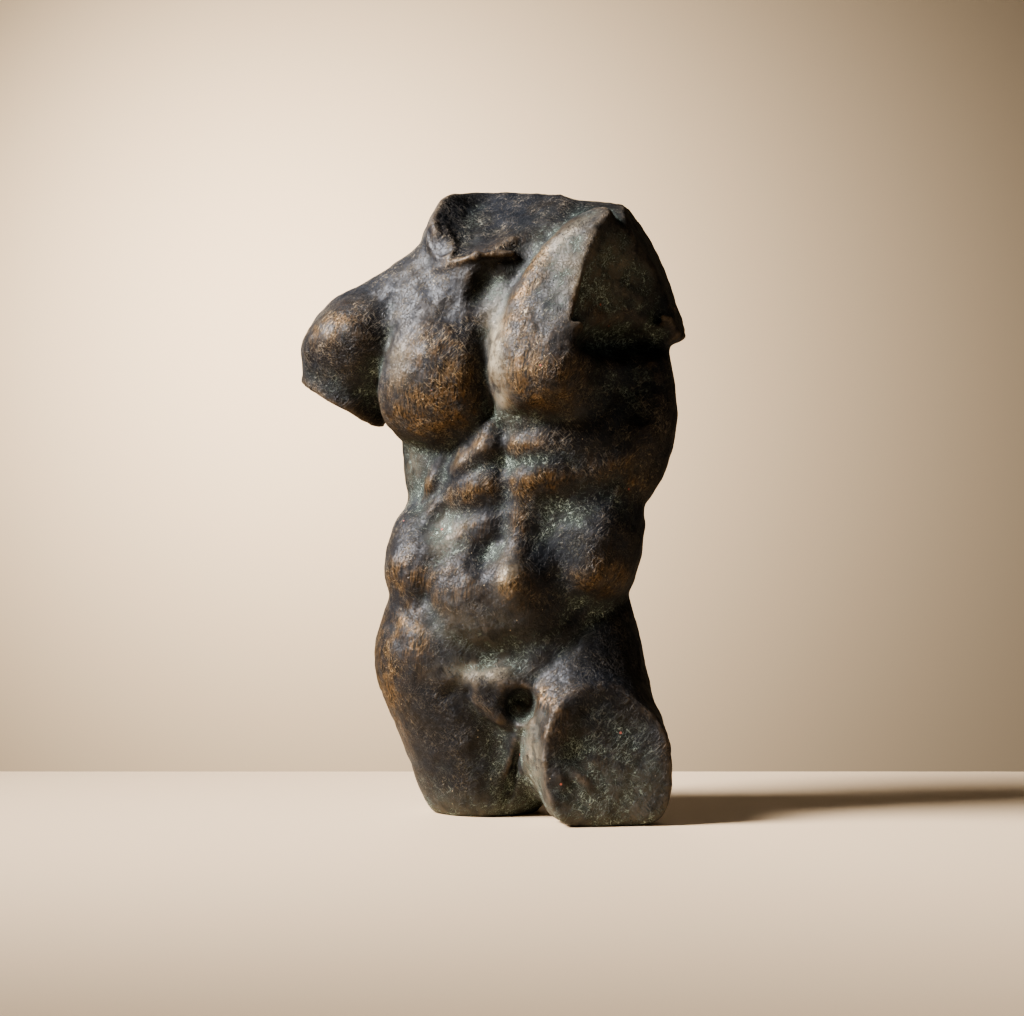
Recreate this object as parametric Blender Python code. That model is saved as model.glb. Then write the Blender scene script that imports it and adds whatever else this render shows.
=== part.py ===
"""A male torso in the classical manner, its neck, arms and thighs broken off, about two-thirds life size.

The body is laid up the way a modeller works in clay. A trunk of oval sections carries masses of muscle,
furrows are drawn into them, and the breaks are cut flat. The masses are placed in an upright, even pose,
and stands() takes each place of the twisted, standing pose back to that one. The limbs and the breaks are
placed in the standing pose itself. Metres, +Z up, and the front looks along -Y.
"""

import math

import bmesh
import bpy
import numpy as np

HEIGHT = 0.618
GRID = 0.006
TRIANGLES = 8600
EDGE = 0.003
BASE_EDGE = 0.020
BELOW_BASE = 0.004

FIRED_CLAY = {"colour": (0.036, 0.030, 0.026), "roughness": 0.45, "metallic": 0.0}

# Upright pose to standing pose, by height: where the trunk's centre lies, its turn and its sideways tilt.
STANCE = {
    # height: (centre x, centre y, turn in degrees, rise per metre across)
    0.00: (0.022, 0.004, 0.0, 0.00),
    0.10: (0.016, 0.004, 2.0, 0.00),
    0.17: (0.013, 0.002, 5.0, 0.00),
    0.24: (0.018, 0.000, 12.0, 0.02),
    0.31: (0.031, 0.000, 22.0, 0.06),
    0.38: (0.036, 0.000, 27.0, 0.13),
    0.45: (0.030, 0.000, 27.0, 0.18),
    0.52: (0.018, 0.004, 25.0, 0.18),
    0.66: (0.006, 0.010, 22.0, 0.16),
}

# The trunk's oval sections in the upright pose: half its width, and its depth ahead of and behind the centre.
TRUNK = {
    0.06: (0.098, 0.048, 0.060),
    0.12: (0.112, 0.060, 0.070),
    0.18: (0.114, 0.062, 0.068),
    0.24: (0.108, 0.061, 0.060),
    0.30: (0.110, 0.060, 0.056),
    0.36: (0.118, 0.060, 0.064),
    0.42: (0.126, 0.060, 0.074),
    0.48: (0.120, 0.056, 0.078),
    0.53: (0.098, 0.048, 0.066),
    0.58: (0.070, 0.042, 0.054),
    0.66: (0.056, 0.040, 0.048),
}


def along(stations, height):
    """The values of a table of stations at each height, on a smooth curve through them."""
    knots = np.array(sorted(stations))
    values = np.array([stations[k] for k in knots])
    slopes = np.gradient(values, knots, axis=0)
    height = np.clip(height, knots[0], knots[-1])
    i = np.clip(np.searchsorted(knots, height) - 1, 0, len(knots) - 2)
    step = knots[i + 1] - knots[i]
    t = (height - knots[i]) / step
    start, end = (1 + 2 * t) * (1 - t) ** 2, t * t * (3 - 2 * t)
    leave, arrive = t * (1 - t) ** 2 * step, t * t * (t - 1) * step
    return [
        values[i, c] * start + values[i + 1, c] * end + slopes[i, c] * leave + slopes[i + 1, c] * arrive
        for c in range(values.shape[1])
    ]


def merged(a, b, soft):
    """The nearer of two surfaces, blended over the width soft."""
    h = np.clip(0.5 + 0.5 * (b - a) / soft, 0, 1)
    return b + (a - b) * h - soft * h * (1 - h)


def cut(a, b, soft):
    """What lies inside both surfaces, with the edge between them rounded over the width soft."""
    return -merged(-a, -b, soft)


def turned(tilt, turn, roll):
    """A rotation matrix from angles about X, Z and Y, in degrees."""
    a, b, c = (math.radians(v) for v in (tilt, turn, roll))
    about_x = np.array([[1, 0, 0], [0, math.cos(a), -math.sin(a)], [0, math.sin(a), math.cos(a)]])
    about_z = np.array([[math.cos(b), -math.sin(b), 0], [math.sin(b), math.cos(b), 0], [0, 0, 1]])
    about_y = np.array([[math.cos(c), 0, math.sin(c)], [0, 1, 0], [-math.sin(c), 0, math.cos(c)]])
    return about_z @ about_y @ about_x


def mass(p, centre, radii, turn=(0, 0, 0), square=2):
    """The distance to an ellipsoid, or to a squarer mass where square is over 2."""
    q = [p[i] - centre[i] for i in range(3)]
    if any(turn):
        m = turned(*turn)
        q = [m[0, i] * q[0] + m[1, i] * q[1] + m[2, i] * q[2] for i in range(3)]
    q = [np.abs(q[i]) / radii[i] for i in range(3)]
    reach = sum(q[i] ** square for i in range(3)) ** (1 / square) + 1e-9
    slope = np.sqrt(sum((q[i] ** (square - 1) / radii[i]) ** 2 for i in range(3))) + 1e-9
    return (reach - 1) * reach ** (square - 1) / slope


def limb(p, start, end, start_radius, end_radius):
    """The distance to a tapering limb with round ends."""
    start, end = np.array(start), np.array(end)
    axis = end - start
    q = [p[i] - start[i] for i in range(3)]
    t = np.clip(sum(q[i] * axis[i] for i in range(3)) / (axis @ axis), 0, 1)
    gap = np.sqrt(sum((q[i] - t * axis[i]) ** 2 for i in range(3)))
    return gap - (start_radius + (end_radius - start_radius) * t)


def beyond(p, point, normal):
    """How far each place lies beyond a plane."""
    normal = np.array(normal) / np.linalg.norm(normal)
    return sum((p[i] - point[i]) * normal[i] for i in range(3))


def front(q, fade=0.02):
    """1 ahead of the trunk's middle, 0 behind it."""
    return 1 / (1 + np.exp(q[1] / (0.25 * fade)))


def swell(q, centre, radii, roll=0):
    """1 at the middle of a soft rise or hollow, fading to 0 all round."""
    m = turned(0, 0, roll)
    q = [q[i] - centre[i] for i in range(3)]
    q = [m[0, i] * q[0] + m[1, i] * q[1] + m[2, i] * q[2] for i in range(3)]
    return np.exp(-sum((q[i] / radii[i]) ** 2 for i in range(3)))


def furrow(q, route, width):
    """1 along a line drawn on the front or the back, fading to 0 at its sides."""
    nearest = np.full(q[0].shape, 1e3)
    for (x0, z0), (x1, z1) in zip(route, route[1:]):
        run = np.hypot(x1 - x0, z1 - z0)
        t = np.clip(((q[0] - x0) * (x1 - x0) + (q[2] - z0) * (z1 - z0)) / run**2, 0, 1)
        nearest = np.minimum(nearest, np.hypot(q[0] - x0 - t * (x1 - x0), q[2] - z0 - t * (z1 - z0)))
    return np.exp(-((nearest / width) ** 2))


def stands(p):
    """Places in the standing pose taken back to the upright pose."""
    centre_x, centre_y, turn, rise = along(STANCE, p[2])
    turn = np.radians(turn)
    x, y = p[0] - centre_x, p[1] - centre_y
    across = x * np.cos(turn) - y * np.sin(turn)
    back = x * np.sin(turn) + y * np.cos(turn)
    return [across, back, p[2] - rise * across]


def trunk(q):
    """The trunk's oval sections, in the upright pose."""
    half_width, ahead, behind = along(TRUNK, q[2])
    depth = np.where(q[1] < 0, ahead, behind)
    k0 = np.sqrt((q[0] / half_width) ** 2 + (q[1] / depth) ** 2)
    k1 = np.sqrt((q[0] / half_width**2) ** 2 + (q[1] / depth**2) ** 2) + 1e-9
    body = k0 * (k0 - 1) / k1
    return cut(body, 0.085 - q[2], 0.05)


# Masses of the upright pose: centre, radii, turn about X, Z and Y, softness of the join, squareness.
BOTH_SIDES = {
    "rib_cage": ((0.034, 0.008, 0.415), (0.090, 0.072, 0.128), (0, 0, 0), 0.030, 2.0),
    "back_wing": ((0.106, 0.024, 0.405), (0.034, 0.052, 0.100), (0, 0, -4), 0.030, 2.0),
    "flank_roll": ((0.078, -0.006, 0.258), (0.048, 0.054, 0.048), (0, 0, 0), 0.030, 2.2),
    "hip": ((0.084, 0.008, 0.165), (0.036, 0.054, 0.060), (0, 0, 0), 0.030, 2.0),
    "seat": ((0.056, 0.054, 0.140), (0.058, 0.050, 0.066), (0, 0, 0), 0.020, 2.0),
    "spine_bar": ((0.028, 0.050, 0.310), (0.024, 0.024, 0.130), (0, 0, 0), 0.020, 2.0),
    "blade": ((0.070, 0.064, 0.455), (0.044, 0.026, 0.062), (0, 0, 16), 0.014, 2.2),
    "low_back_wing": ((0.070, 0.050, 0.360), (0.050, 0.030, 0.080), (0, 0, 14), 0.020, 2.0),
}
ONE_SIDE = {
    "right_chest": ((-0.068, -0.045, 0.434), (0.066, 0.052, 0.064), (0, 10, 12), 0.014, 2.2),
    "right_outer_chest": ((-0.106, -0.034, 0.436), (0.049, 0.047, 0.055), (0, 0, 0), 0.020, 2.0),
    "right_upper_chest": ((-0.066, -0.029, 0.490), (0.062, 0.044, 0.058), (0, 12, -8), 0.030, 2.2),
    "belly": ((0.000, -0.022, 0.213), (0.078, 0.055, 0.056), (0, 0, 0), 0.020, 2.3),
    "mound": ((-0.008, -0.044, 0.126), (0.034, 0.027, 0.022), (0, 0, 0), 0.014, 2.0),
}
LEFT_CHEST = {
    "chest": ((0.046, -0.046, 0.434), (0.062, 0.054, 0.054), (0, 12, 0), 0.020, 2.4),
    "upper_chest": ((0.068, -0.040, 0.486), (0.062, 0.055, 0.084), (0, 10, 24), 0.020, 2.4),
}
# The strand of the left chest that is drawn up to the raised arm: start, end, radius at each, softness.
LEFT_STRAND = ((0.016, -0.044, 0.452), (0.096, -0.046, 0.552), 0.029, 0.034, 0.020)
# Flat faces of the left chest in the upright pose: a place on each, the way it faces, softness of its edge.
LEFT_CHEST_FACES = {
    "inner": ((0.004, -0.084, 0.440), (-0.55, -0.83, 0.10), 0.022),
    "upper": ((0.034, -0.080, 0.510), (-0.66, -0.25, 0.71), 0.034),
}

# Soft rises on the front of the upright pose, and hollows where the height is below zero: centre, radii,
# height, roll about Y in degrees.
SWELLS = {
    "right_first_belly": ((-0.018, -0.070, 0.360), (0.016, 0.040, 0.010), 0.0070, -26),
    "right_outer_belly": ((-0.044, -0.070, 0.347), (0.018, 0.040, 0.009), 0.0050, -26),
    "right_second_belly": ((-0.034, -0.070, 0.322), (0.030, 0.040, 0.019), 0.0085, -6),
    "right_third_belly": ((-0.030, -0.070, 0.284), (0.023, 0.040, 0.015), 0.0030, 0),
    "waist_hollow": ((-0.066, -0.055, 0.287), (0.016, 0.040, 0.013), -0.0060, 0),
    "waist_side": ((-0.112, 0.000, 0.292), (0.024, 0.060, 0.020), 0.0090, 0),
    "right_rib_end": ((-0.084, -0.050, 0.331), (0.008, 0.030, 0.013), 0.0050, 20),
    "right_low_rib_end": ((-0.076, -0.050, 0.306), (0.008, 0.030, 0.011), 0.0045, 20),
    "left_first_belly": ((0.032, -0.070, 0.358), (0.026, 0.040, 0.011), 0.0060, 2),
    "left_second_belly": ((0.036, -0.070, 0.326), (0.032, 0.040, 0.016), 0.0075, 3),
    "left_third_belly": ((0.018, -0.070, 0.284), (0.015, 0.040, 0.030), 0.0055, 6),
    "beside_navel": ((0.016, -0.078, 0.230), (0.017, 0.040, 0.022), 0.0110, -8),
    "left_rib_end": ((0.104, -0.050, 0.333), (0.020, 0.040, 0.010), 0.0050, -20),
    "right_flank": ((-0.100, -0.045, 0.240), (0.026, 0.040, 0.024), 0.0045, -20),
    "left_flank": ((0.100, -0.045, 0.232), (0.026, 0.040, 0.020), 0.0070, 15),
    "above_right_hip": ((-0.090, -0.050, 0.216), (0.024, 0.040, 0.016), 0.0040, -20),
    "navel": ((-0.012, -0.060, 0.256), (0.012, 0.040, 0.018), -0.0075, 10),
    "belly_side": ((0.058, -0.060, 0.225), (0.014, 0.040, 0.030), -0.0060, 12),
    "behind_left_chest": ((0.118, -0.045, 0.416), (0.024, 0.060, 0.058), -0.0120, 8),
    "neck_pit": ((-0.008, -0.060, 0.516), (0.020, 0.040, 0.028), -0.0180, 30),
}

# Furrows drawn on the front of the upright pose: route of (across, height) points, width, depth.
FURROWS = {
    "breastbone": (((-0.010, 0.50), (-0.013, 0.395)), 0.008, 0.007),
    "belly_line": (((0.002, 0.38), (0.002, 0.27)), 0.010, 0.004),
    "right_chest": (((-0.125, 0.392), (-0.078, 0.362), (-0.034, 0.379), (-0.007, 0.400)), 0.010, 0.003),
    "left_chest": (
        ((0.008, 0.410), (0.025, 0.388), (0.056, 0.374), (0.089, 0.376), (0.108, 0.40)), 0.010, 0.003),
    "right_armpit": (((-0.116, 0.520), (-0.130, 0.486), (-0.148, 0.440), (-0.150, 0.410)), 0.019, 0.013),
    "right_groin": (((-0.106, 0.180), (-0.088, 0.150), (-0.062, 0.138), (-0.036, 0.120)), 0.014, 0.003),
    "left_groin": (((0.125, 0.216), (0.093, 0.194), (0.058, 0.160), (0.032, 0.134)), 0.010, 0.006),
    "under_belly": (
        ((-0.074, 0.215), (-0.060, 0.178), (-0.008, 0.160), (0.048, 0.176), (0.076, 0.208)), 0.010, 0.003),
}
# The same for the back, on both sides.
BACK_FURROWS = {
    "spine": (((0.000, 0.52), (0.000, 0.19)), 0.010, 0.008),
    "seat_parting": (((0.000, 0.18), (0.000, 0.06)), 0.010, 0.010),
    "blade_edge": (((0.030, 0.49), (0.036, 0.43), (0.070, 0.39), (0.112, 0.395)), 0.012, 0.005),
    "seat_fold": (((0.010, 0.082), (0.050, 0.076), (0.090, 0.086)), 0.010, 0.006),
    "loin": (((0.018, 0.200), (0.048, 0.214), (0.100, 0.216)), 0.014, 0.005),
}

# The breaks of the standing pose: a place on each plane, and the way it faces.
NECK_BREAK = ((0.0062, -0.060, 0.5431), (-0.313, -0.573, 0.757))
NECK_SIDE_BREAK = ((-0.0441, -0.0546, 0.5330), (0.424, -0.648, 0.630))
NECK_CORNER_BREAK = ((-0.0530, 0.000, 0.6050), (-0.86, -0.10, 0.50))
TOP_BREAK = ((0.0728, -0.100, 0.5560), (-0.396, -0.437, 0.808))
HEIGHT_BREAK = ((0.000, 0.000, HEIGHT), (0.11, -0.04, 1.00))
HEIGHT_SIDE_BREAK = ((-0.016, 0.000, HEIGHT), (-0.16, -0.04, 1.00))
LEFT_CHEST_OUTER_FACE = ((0.100, -0.0885, 0.571), (-0.33, -0.88, 0.34))
LEFT_FRONT_BREAK = ((0.0872, -0.094, 0.499), (0.595, -0.80, -0.05))
LEFT_EDGE_BREAK = ((0.086, -0.100, 0.525), (0.96, -0.10, -0.25))
UNDER_LEFT_ARM = ((0.090, -0.080, 0.474), (-0.25, 0.20, 0.95))
LEFT_ARM_BREAK = ((0.1418, 0.040, 0.596), (0.89, -0.20, 0.41))
LEFT_ARM_CHIP = ((0.186, -0.030, 0.473), (0.75, -0.20, -0.63))
RIGHT_ARM_BREAK = ((-0.150, 0.060, 0.402), (-0.50, 0.06, -0.86))
LEFT_THIGH_BREAK = ((0.110, -0.105, 0.060), (0.15, -0.975, 0.12))
RIGHT_SHOULDER_SIDE = ((-0.175, 0.000, 0.496), (-0.566, 0.000, 0.824))


def body(p):
    """The trunk before its breaks are cut."""
    q = stands(p)
    mirrored = [np.abs(q[0]), q[1], q[2]]
    d = trunk(q)
    for places, masses in ((mirrored, BOTH_SIDES), (q, ONE_SIDE)):
        for centre, radii, turn, soft, square in masses.values():
            d = merged(d, mass(places, centre, radii, turn, square), soft)
    d = merged(d, left_chest(q), 0.014)
    for centre, radii, height, roll in SWELLS.values():
        d = d - height * swell(q, centre, radii, roll)
    ahead = front(q)
    for route, width, depth in FURROWS.values():
        d = d + depth * ahead * furrow(q, route, width)
    for route, width, depth in BACK_FURROWS.values():
        d = d + depth * (1 - ahead) * furrow(mirrored, route, width)
    return d


def left_chest(q):
    """The left chest in the upright pose, with its flat inner and upper faces."""
    start, end, start_radius, end_radius, soft = LEFT_STRAND
    d = limb(q, start, end, start_radius, end_radius)
    for centre, radii, turn, blend, square in LEFT_CHEST.values():
        d = merged(d, mass(q, centre, radii, turn, square), blend)
    for place, facing, edge in LEFT_CHEST_FACES.values():
        d = cut(d, beyond(q, place, facing), edge)
    return d


def right_thigh(p):
    """The stump of the right thigh, which carries the weight."""
    return limb(p, (-0.048, 0.006, 0.150), (-0.002, 0.012, -0.020), 0.068, 0.053)


def left_thigh(p):
    """The stump of the left thigh, brought forward and broken off in front."""
    upper = limb(p, (0.076, 0.004, 0.130), (0.115, -0.130, 0.036), 0.063, 0.060)
    lower = limb(p, (0.078, 0.000, 0.100), (0.105, -0.072, 0.036), 0.064, 0.058)
    return cut(merged(upper, lower, 0.02), beyond(p, *LEFT_THIGH_BREAK), EDGE)


def right_arm(p):
    """The right shoulder and the stump of its hanging arm."""
    cap = mass(p, (-0.137, 0.036, 0.4690), (0.0575, 0.058, 0.0455))
    cap = cut(cap, beyond(p, *RIGHT_SHOULDER_SIDE), 0.03)
    stump = limb(p, (-0.128, 0.049, 0.470), (-0.180, 0.062, 0.340), 0.050, 0.045)
    return cut(merged(cap, stump, 0.02), beyond(p, *RIGHT_ARM_BREAK), EDGE)


def with_left_arm(d, p):
    """The sculpture with the root of the raised left arm, broken off in flat faces over a deep armpit."""
    root = limb(p, (0.060, 0.010, 0.535), (0.180, -0.030, 0.525), 0.068, 0.064)
    root = merged(root, limb(p, (0.030, 0.012, 0.580), (0.125, -0.004, 0.566), 0.032, 0.034), 0.012)
    for plane in (LEFT_ARM_CHIP, LEFT_ARM_BREAK):
        root = cut(root, beyond(p, *plane), EDGE)
    root = root - 0.006 * swell(p, (0.155, 0.000, 0.540), (0.030, 0.060, 0.045))
    d = cut(merged(d, root, 0.012), beyond(p, *LEFT_CHEST_OUTER_FACE), 0.014)
    notch = [beyond(p, *plane) for plane in (LEFT_FRONT_BREAK, LEFT_EDGE_BREAK, UNDER_LEFT_ARM)]
    d = cut(d, np.minimum.reduce(notch), 0.005)
    d = cut(d, -mass(p, (0.124, -0.137, 0.430), (0.030, 0.078, 0.064), (0, -14, 0)), 0.030)
    return cut(d, -mass(p, (0.151, -0.098, 0.466), (0.073, 0.064, 0.022), (0, -14, -6)), 0.012)


def with_neck(d, p):
    """The sculpture with the root of the neck and the slope from it to the right shoulder."""
    column = limb(p, (0.000, 0.004, 0.500), (-0.012, 0.016, 0.660), 0.062, 0.062)
    d = cut(merged(d, column, 0.012), beyond(p, *NECK_CORNER_BREAK), 0.006)
    return merged(d, limb(p, (-0.014, 0.026, 0.556), (-0.126, 0.036, 0.469), 0.040, 0.049), 0.02)


def torso(p):
    """The whole sculpture: negative inside it, positive outside."""
    d = merged(body(p), right_thigh(p), 0.02)
    d = merged(d, left_thigh(p), 0.045)
    d = merged(d, mass(p, (0.088, 0.050, 0.478), (0.060, 0.034, 0.060)), 0.03)
    d = with_left_arm(merged(with_neck(d, p), right_arm(p), 0.010), p)
    for plane in (HEIGHT_BREAK, HEIGHT_SIDE_BREAK):
        d = cut(d, beyond(p, *plane), 0.010)
    over = merged(beyond(p, *NECK_SIDE_BREAK), beyond(p, *NECK_BREAK), 0.010)
    d = cut(d, merged(over, beyond(p, *TOP_BREAK), 0.012), EDGE)
    d = cut(d, -mass(p, (-0.012, -0.090, 0.514), (0.023, 0.046, 0.040), (0, 0, 30)), 0.007)
    d = d - 0.007 * swell(p, (0.172, -0.050, 0.092), (0.030, 0.080, 0.034))
    return cut(d, -p[2] - BELOW_BASE, BASE_EDGE)


def settled(value, step):
    """Fills the checkerboard faces of the grid, where two sheets of the surface would touch."""
    for _ in range(6):
        for axis in range(3):
            u, w = (axis + 1) % 3, (axis + 2) % 3
            corner = {}
            for i in (0, 1):
                for j in (0, 1):
                    part = [slice(None)] * 3
                    part[u], part[w] = slice(i, i - 1 or None), slice(j, j - 1 or None)
                    corner[i, j] = value[tuple(part)]
            inside = {key: v < 0 for key, v in corner.items()}
            even = inside[0, 0] & inside[1, 1] & ~inside[0, 1] & ~inside[1, 0]
            odd = inside[0, 1] & inside[1, 0] & ~inside[0, 0] & ~inside[1, 1]
            for key, v in corner.items():
                v[(even | odd) & ~inside[key]] = -0.1 * step
    return value


def skin(field, low, high, step):
    """Vertices and quads of the surface where the field is zero, one vertex in each grid cell it crosses."""
    axes = [np.arange(low[i], high[i] + step, step) for i in range(3)]
    p = np.meshgrid(*axes, indexing="ij")
    value = settled(field(p), step)
    inside = value < 0
    size = np.array(inside.shape) - 1
    index = -np.ones(size, dtype=np.int64)
    corner = [
        inside[i : i + size[0], j : j + size[1], k : k + size[2]]
        for i in (0, 1) for j in (0, 1) for k in (0, 1)
    ]
    count = sum(c.astype(np.int8) for c in corner)
    cells = np.argwhere((count > 0) & (count < 8))
    index[tuple(cells.T)] = np.arange(len(cells))
    total = np.zeros((len(cells), 3))
    crossings = np.zeros(len(cells))
    for axis in range(3):
        for a in (0, 1):
            for b in (0, 1):
                start = np.zeros(3, dtype=np.int64)
                start[(axis + 1) % 3], start[(axis + 2) % 3] = a, b
                end = start.copy()
                end[axis] = 1
                v0 = value[tuple((cells + start).T)]
                v1 = value[tuple((cells + end).T)]
                crossed = (v0 < 0) != (v1 < 0)
                t = np.where(crossed, v0 / np.where(crossed, v0 - v1, 1), 0)
                place = np.tile(start.astype(float), (len(cells), 1))
                place[:, axis] = t
                total += place * crossed[:, None]
                crossings += crossed
    points = (cells + total / crossings[:, None]) * step + np.array(low)
    quads = []
    for axis in range(3):
        u, w = (axis + 1) % 3, (axis + 2) % 3
        here = [slice(None)] * 3
        there = [slice(None)] * 3
        here[axis], there[axis] = slice(0, -1), slice(1, None)
        a, b = inside[tuple(here)], inside[tuple(there)]
        for enters, flip in ((~a & b, False), (a & ~b, True)):
            e = np.argwhere(enters)
            e = e[(e[:, u] > 0) & (e[:, w] > 0) & (e[:, u] < size[u]) & (e[:, w] < size[w])]
            ring = []
            for du, dw in ((-1, -1), (0, -1), (0, 0), (-1, 0)):
                c = e.copy()
                c[:, u] += du
                c[:, w] += dw
                ring.append(index[tuple(c.T)])
            quad = np.stack(ring, axis=1)
            quads.append(quad if flip else quad[:, ::-1])
    return points, np.concatenate(quads)


def fired_clay():
    """The one material: dark patinated clay."""
    material = bpy.data.materials.new("patinated_terracotta")
    material.use_nodes = True
    shader = material.node_tree.nodes["Principled BSDF"]
    shader.inputs["Base Color"].default_value = (*FIRED_CLAY["colour"], 1)
    shader.inputs["Roughness"].default_value = FIRED_CLAY["roughness"]
    shader.inputs["Metallic"].default_value = FIRED_CLAY["metallic"]
    return material


def thinned(mesh):
    """The mesh with its triangles thinned out to about TRIANGLES by a Decimate modifier."""
    obj = bpy.data.objects.new("thinning", mesh)
    bpy.context.scene.collection.objects.link(obj)
    decimate = obj.modifiers.new("Decimate", "DECIMATE")
    decimate.ratio = TRIANGLES / (2 * len(mesh.polygons))
    decimate.use_collapse_triangulate = True
    graph = bpy.context.evaluated_depsgraph_get()
    thin = bpy.data.meshes.new_from_object(obj.evaluated_get(graph))
    bpy.data.objects.remove(obj)
    return thin


def set_down(bm):
    """Slices the stumps off flat at the ground and moves the middle of the box onto the origin."""
    everything = bm.verts[:] + bm.edges[:] + bm.faces[:]
    bmesh.ops.bisect_plane(bm, geom=everything, plane_co=(0, 0, 0), plane_no=(0, 0, -1), clear_outer=True)
    bmesh.ops.holes_fill(bm, edges=[e for e in bm.edges if e.is_boundary], sides=0)
    bmesh.ops.triangulate(bm, faces=bm.faces[:])
    bmesh.ops.recalc_face_normals(bm, faces=bm.faces[:])
    places = np.array([v.co for v in bm.verts])
    middle = (places.min(axis=0) + places.max(axis=0)) / 2
    bmesh.ops.translate(bm, verts=bm.verts[:], vec=(-middle[0], -middle[1], 0))


def make_torso():
    """Builds the torso as one closed, faceted solid."""
    points, quads = skin(torso, (-0.24, -0.16, -0.03), (0.24, 0.16, 0.66), GRID)
    mesh = bpy.data.meshes.new("torso")
    mesh.from_pydata(points.tolist(), [], quads.tolist())
    mesh = thinned(mesh)
    bm = bmesh.new()
    bm.from_mesh(mesh)
    set_down(bm)
    bm.to_mesh(mesh)
    bm.free()
    mesh.shade_smooth()
    mesh.set_sharp_from_angle(angle=math.radians(40))
    mesh.materials.append(fired_clay())
    obj = bpy.data.objects.new("torso", mesh)
    bpy.context.scene.collection.objects.link(obj)
    return obj


if __name__ == "__main__":
    for old in list(bpy.data.objects):
        bpy.data.objects.remove(old)
    make_torso()
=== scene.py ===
"""A male torso in the classical manner, in patinated terracotta, standing in a plain pale studio.

The sculpture is laid up as a sculptor lays up clay: a trunk of oval sections, lumps and rolls of muscle
pressed onto it, furrows drawn into it, and the breaks cut flat. Lumps and furrows are placed in an
upright, even pose, and Stance takes each place of the twisted, standing pose back to that one. The clay
is a distance field, negative inside. Skin meshes it, Surface reads its high and low places, and the
finish is rubbed and washed on by them.
"""

import logging
import math
from dataclasses import dataclass, field
from enum import Enum

import bpy
import numpy as np
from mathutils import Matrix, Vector


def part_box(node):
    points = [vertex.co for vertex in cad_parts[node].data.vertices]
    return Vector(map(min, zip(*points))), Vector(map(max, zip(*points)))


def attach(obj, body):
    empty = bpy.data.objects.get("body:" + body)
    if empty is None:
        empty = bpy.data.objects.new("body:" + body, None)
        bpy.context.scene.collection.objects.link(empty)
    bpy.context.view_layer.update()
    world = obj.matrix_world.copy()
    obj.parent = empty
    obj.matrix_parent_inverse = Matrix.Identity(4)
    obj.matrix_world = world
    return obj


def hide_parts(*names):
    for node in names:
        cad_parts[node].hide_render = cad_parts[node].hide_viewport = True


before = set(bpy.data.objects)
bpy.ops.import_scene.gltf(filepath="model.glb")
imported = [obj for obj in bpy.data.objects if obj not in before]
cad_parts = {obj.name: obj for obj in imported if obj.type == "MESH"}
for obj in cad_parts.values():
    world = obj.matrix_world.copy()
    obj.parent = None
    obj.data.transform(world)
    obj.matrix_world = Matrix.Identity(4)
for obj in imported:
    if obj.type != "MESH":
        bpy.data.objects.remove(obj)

log = logging.getLogger("torso")

Point = tuple[float, float, float]
Places = list[np.ndarray]

CAD_LOW, CAD_HIGH = (np.array(corner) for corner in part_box("torso"))
CLAY_HEIGHT = 0.618
FAR = 1.0  # a distance in metres that stands for no clay near


# ------------------------------------------------------------------------------------------------
# Clay: distance fields and how they are joined


def merged(a: np.ndarray, b: np.ndarray, soft: float) -> np.ndarray:
    """Joins two bodies of clay.

    Args:
        a, b: the distances to the two bodies.
        soft: the width over which the seam between them is smoothed, in metres.

    Returns:
        The distance to the joined body.
    """
    h = np.clip(0.5 + 0.5 * (b - a) / soft, 0, 1)
    return b + (a - b) * h - soft * h * (1 - h)


def cut(a: np.ndarray, b: np.ndarray, soft: float) -> np.ndarray:
    """Keeps what lies inside both bodies.

    Args:
        a, b: the distances to the two bodies.
        soft: the width over which the edge between them is rounded, in metres.

    Returns:
        The distance to what is left.
    """
    return -merged(-a, -b, soft)


def turned(turn: Point) -> np.ndarray:
    """A rotation.

    Args:
        turn: the angles about X, Z and Y, in degrees.

    Returns:
        The rotation's matrix.
    """
    a, b, c = (math.radians(v) for v in turn)
    about_x = np.array([[1, 0, 0], [0, math.cos(a), -math.sin(a)], [0, math.sin(a), math.cos(a)]])
    about_z = np.array([[math.cos(b), -math.sin(b), 0], [math.sin(b), math.cos(b), 0], [0, 0, 1]])
    about_y = np.array([[math.cos(c), 0, math.sin(c)], [0, 1, 0], [-math.sin(c), 0, math.cos(c)]])
    return about_z @ about_y @ about_x


def seen_from(centre: Point, turn: Point, p: Places) -> Places:
    """Places as they lie from a centre, along axes that are turned about it.

    Args:
        centre: the centre.
        turn: the axes' angles about X, Z and Y, in degrees.
        p: the places.

    Returns:
        The places along those axes.
    """
    q = [p[i] - centre[i] for i in range(3)]
    if not any(turn):
        return q
    m = turned(turn)
    return [m[0, i] * q[0] + m[1, i] * q[1] + m[2, i] * q[2] for i in range(3)]


@dataclass(frozen=True)
class Lump:
    """A rounded lump of clay: an ellipsoid, or a squarer shape where square is over 2."""

    centre: Point
    radii: Point
    turn: Point = (0, 0, 0)
    soft: float = 0.012
    square: float = 2.0

    def distance(self, p: Places) -> np.ndarray:
        """Measures the lump.

        Args:
            p: the places.

        Returns:
            The distance from each place to the lump's surface, negative inside.
        """
        q = seen_from(self.centre, self.turn, p)
        q = [np.abs(q[i]) / self.radii[i] for i in range(3)]
        n = self.square
        reach = sum(v**n for v in q) ** (1 / n) + 1e-9
        slope = np.sqrt(sum((q[i] ** (n - 1) / self.radii[i]) ** 2 for i in range(3))) + 1e-9
        return (reach - 1) * reach ** (n - 1) / slope

    def pressed_on(self, clay: np.ndarray, p: Places) -> np.ndarray:
        """The clay with the lump added."""
        return merged(clay, self.distance(p), self.soft)

    def pressed_in(self, clay: np.ndarray, p: Places) -> np.ndarray:
        """The clay with a hollow of the lump's shape."""
        return cut(clay, -self.distance(p), self.soft)


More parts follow.
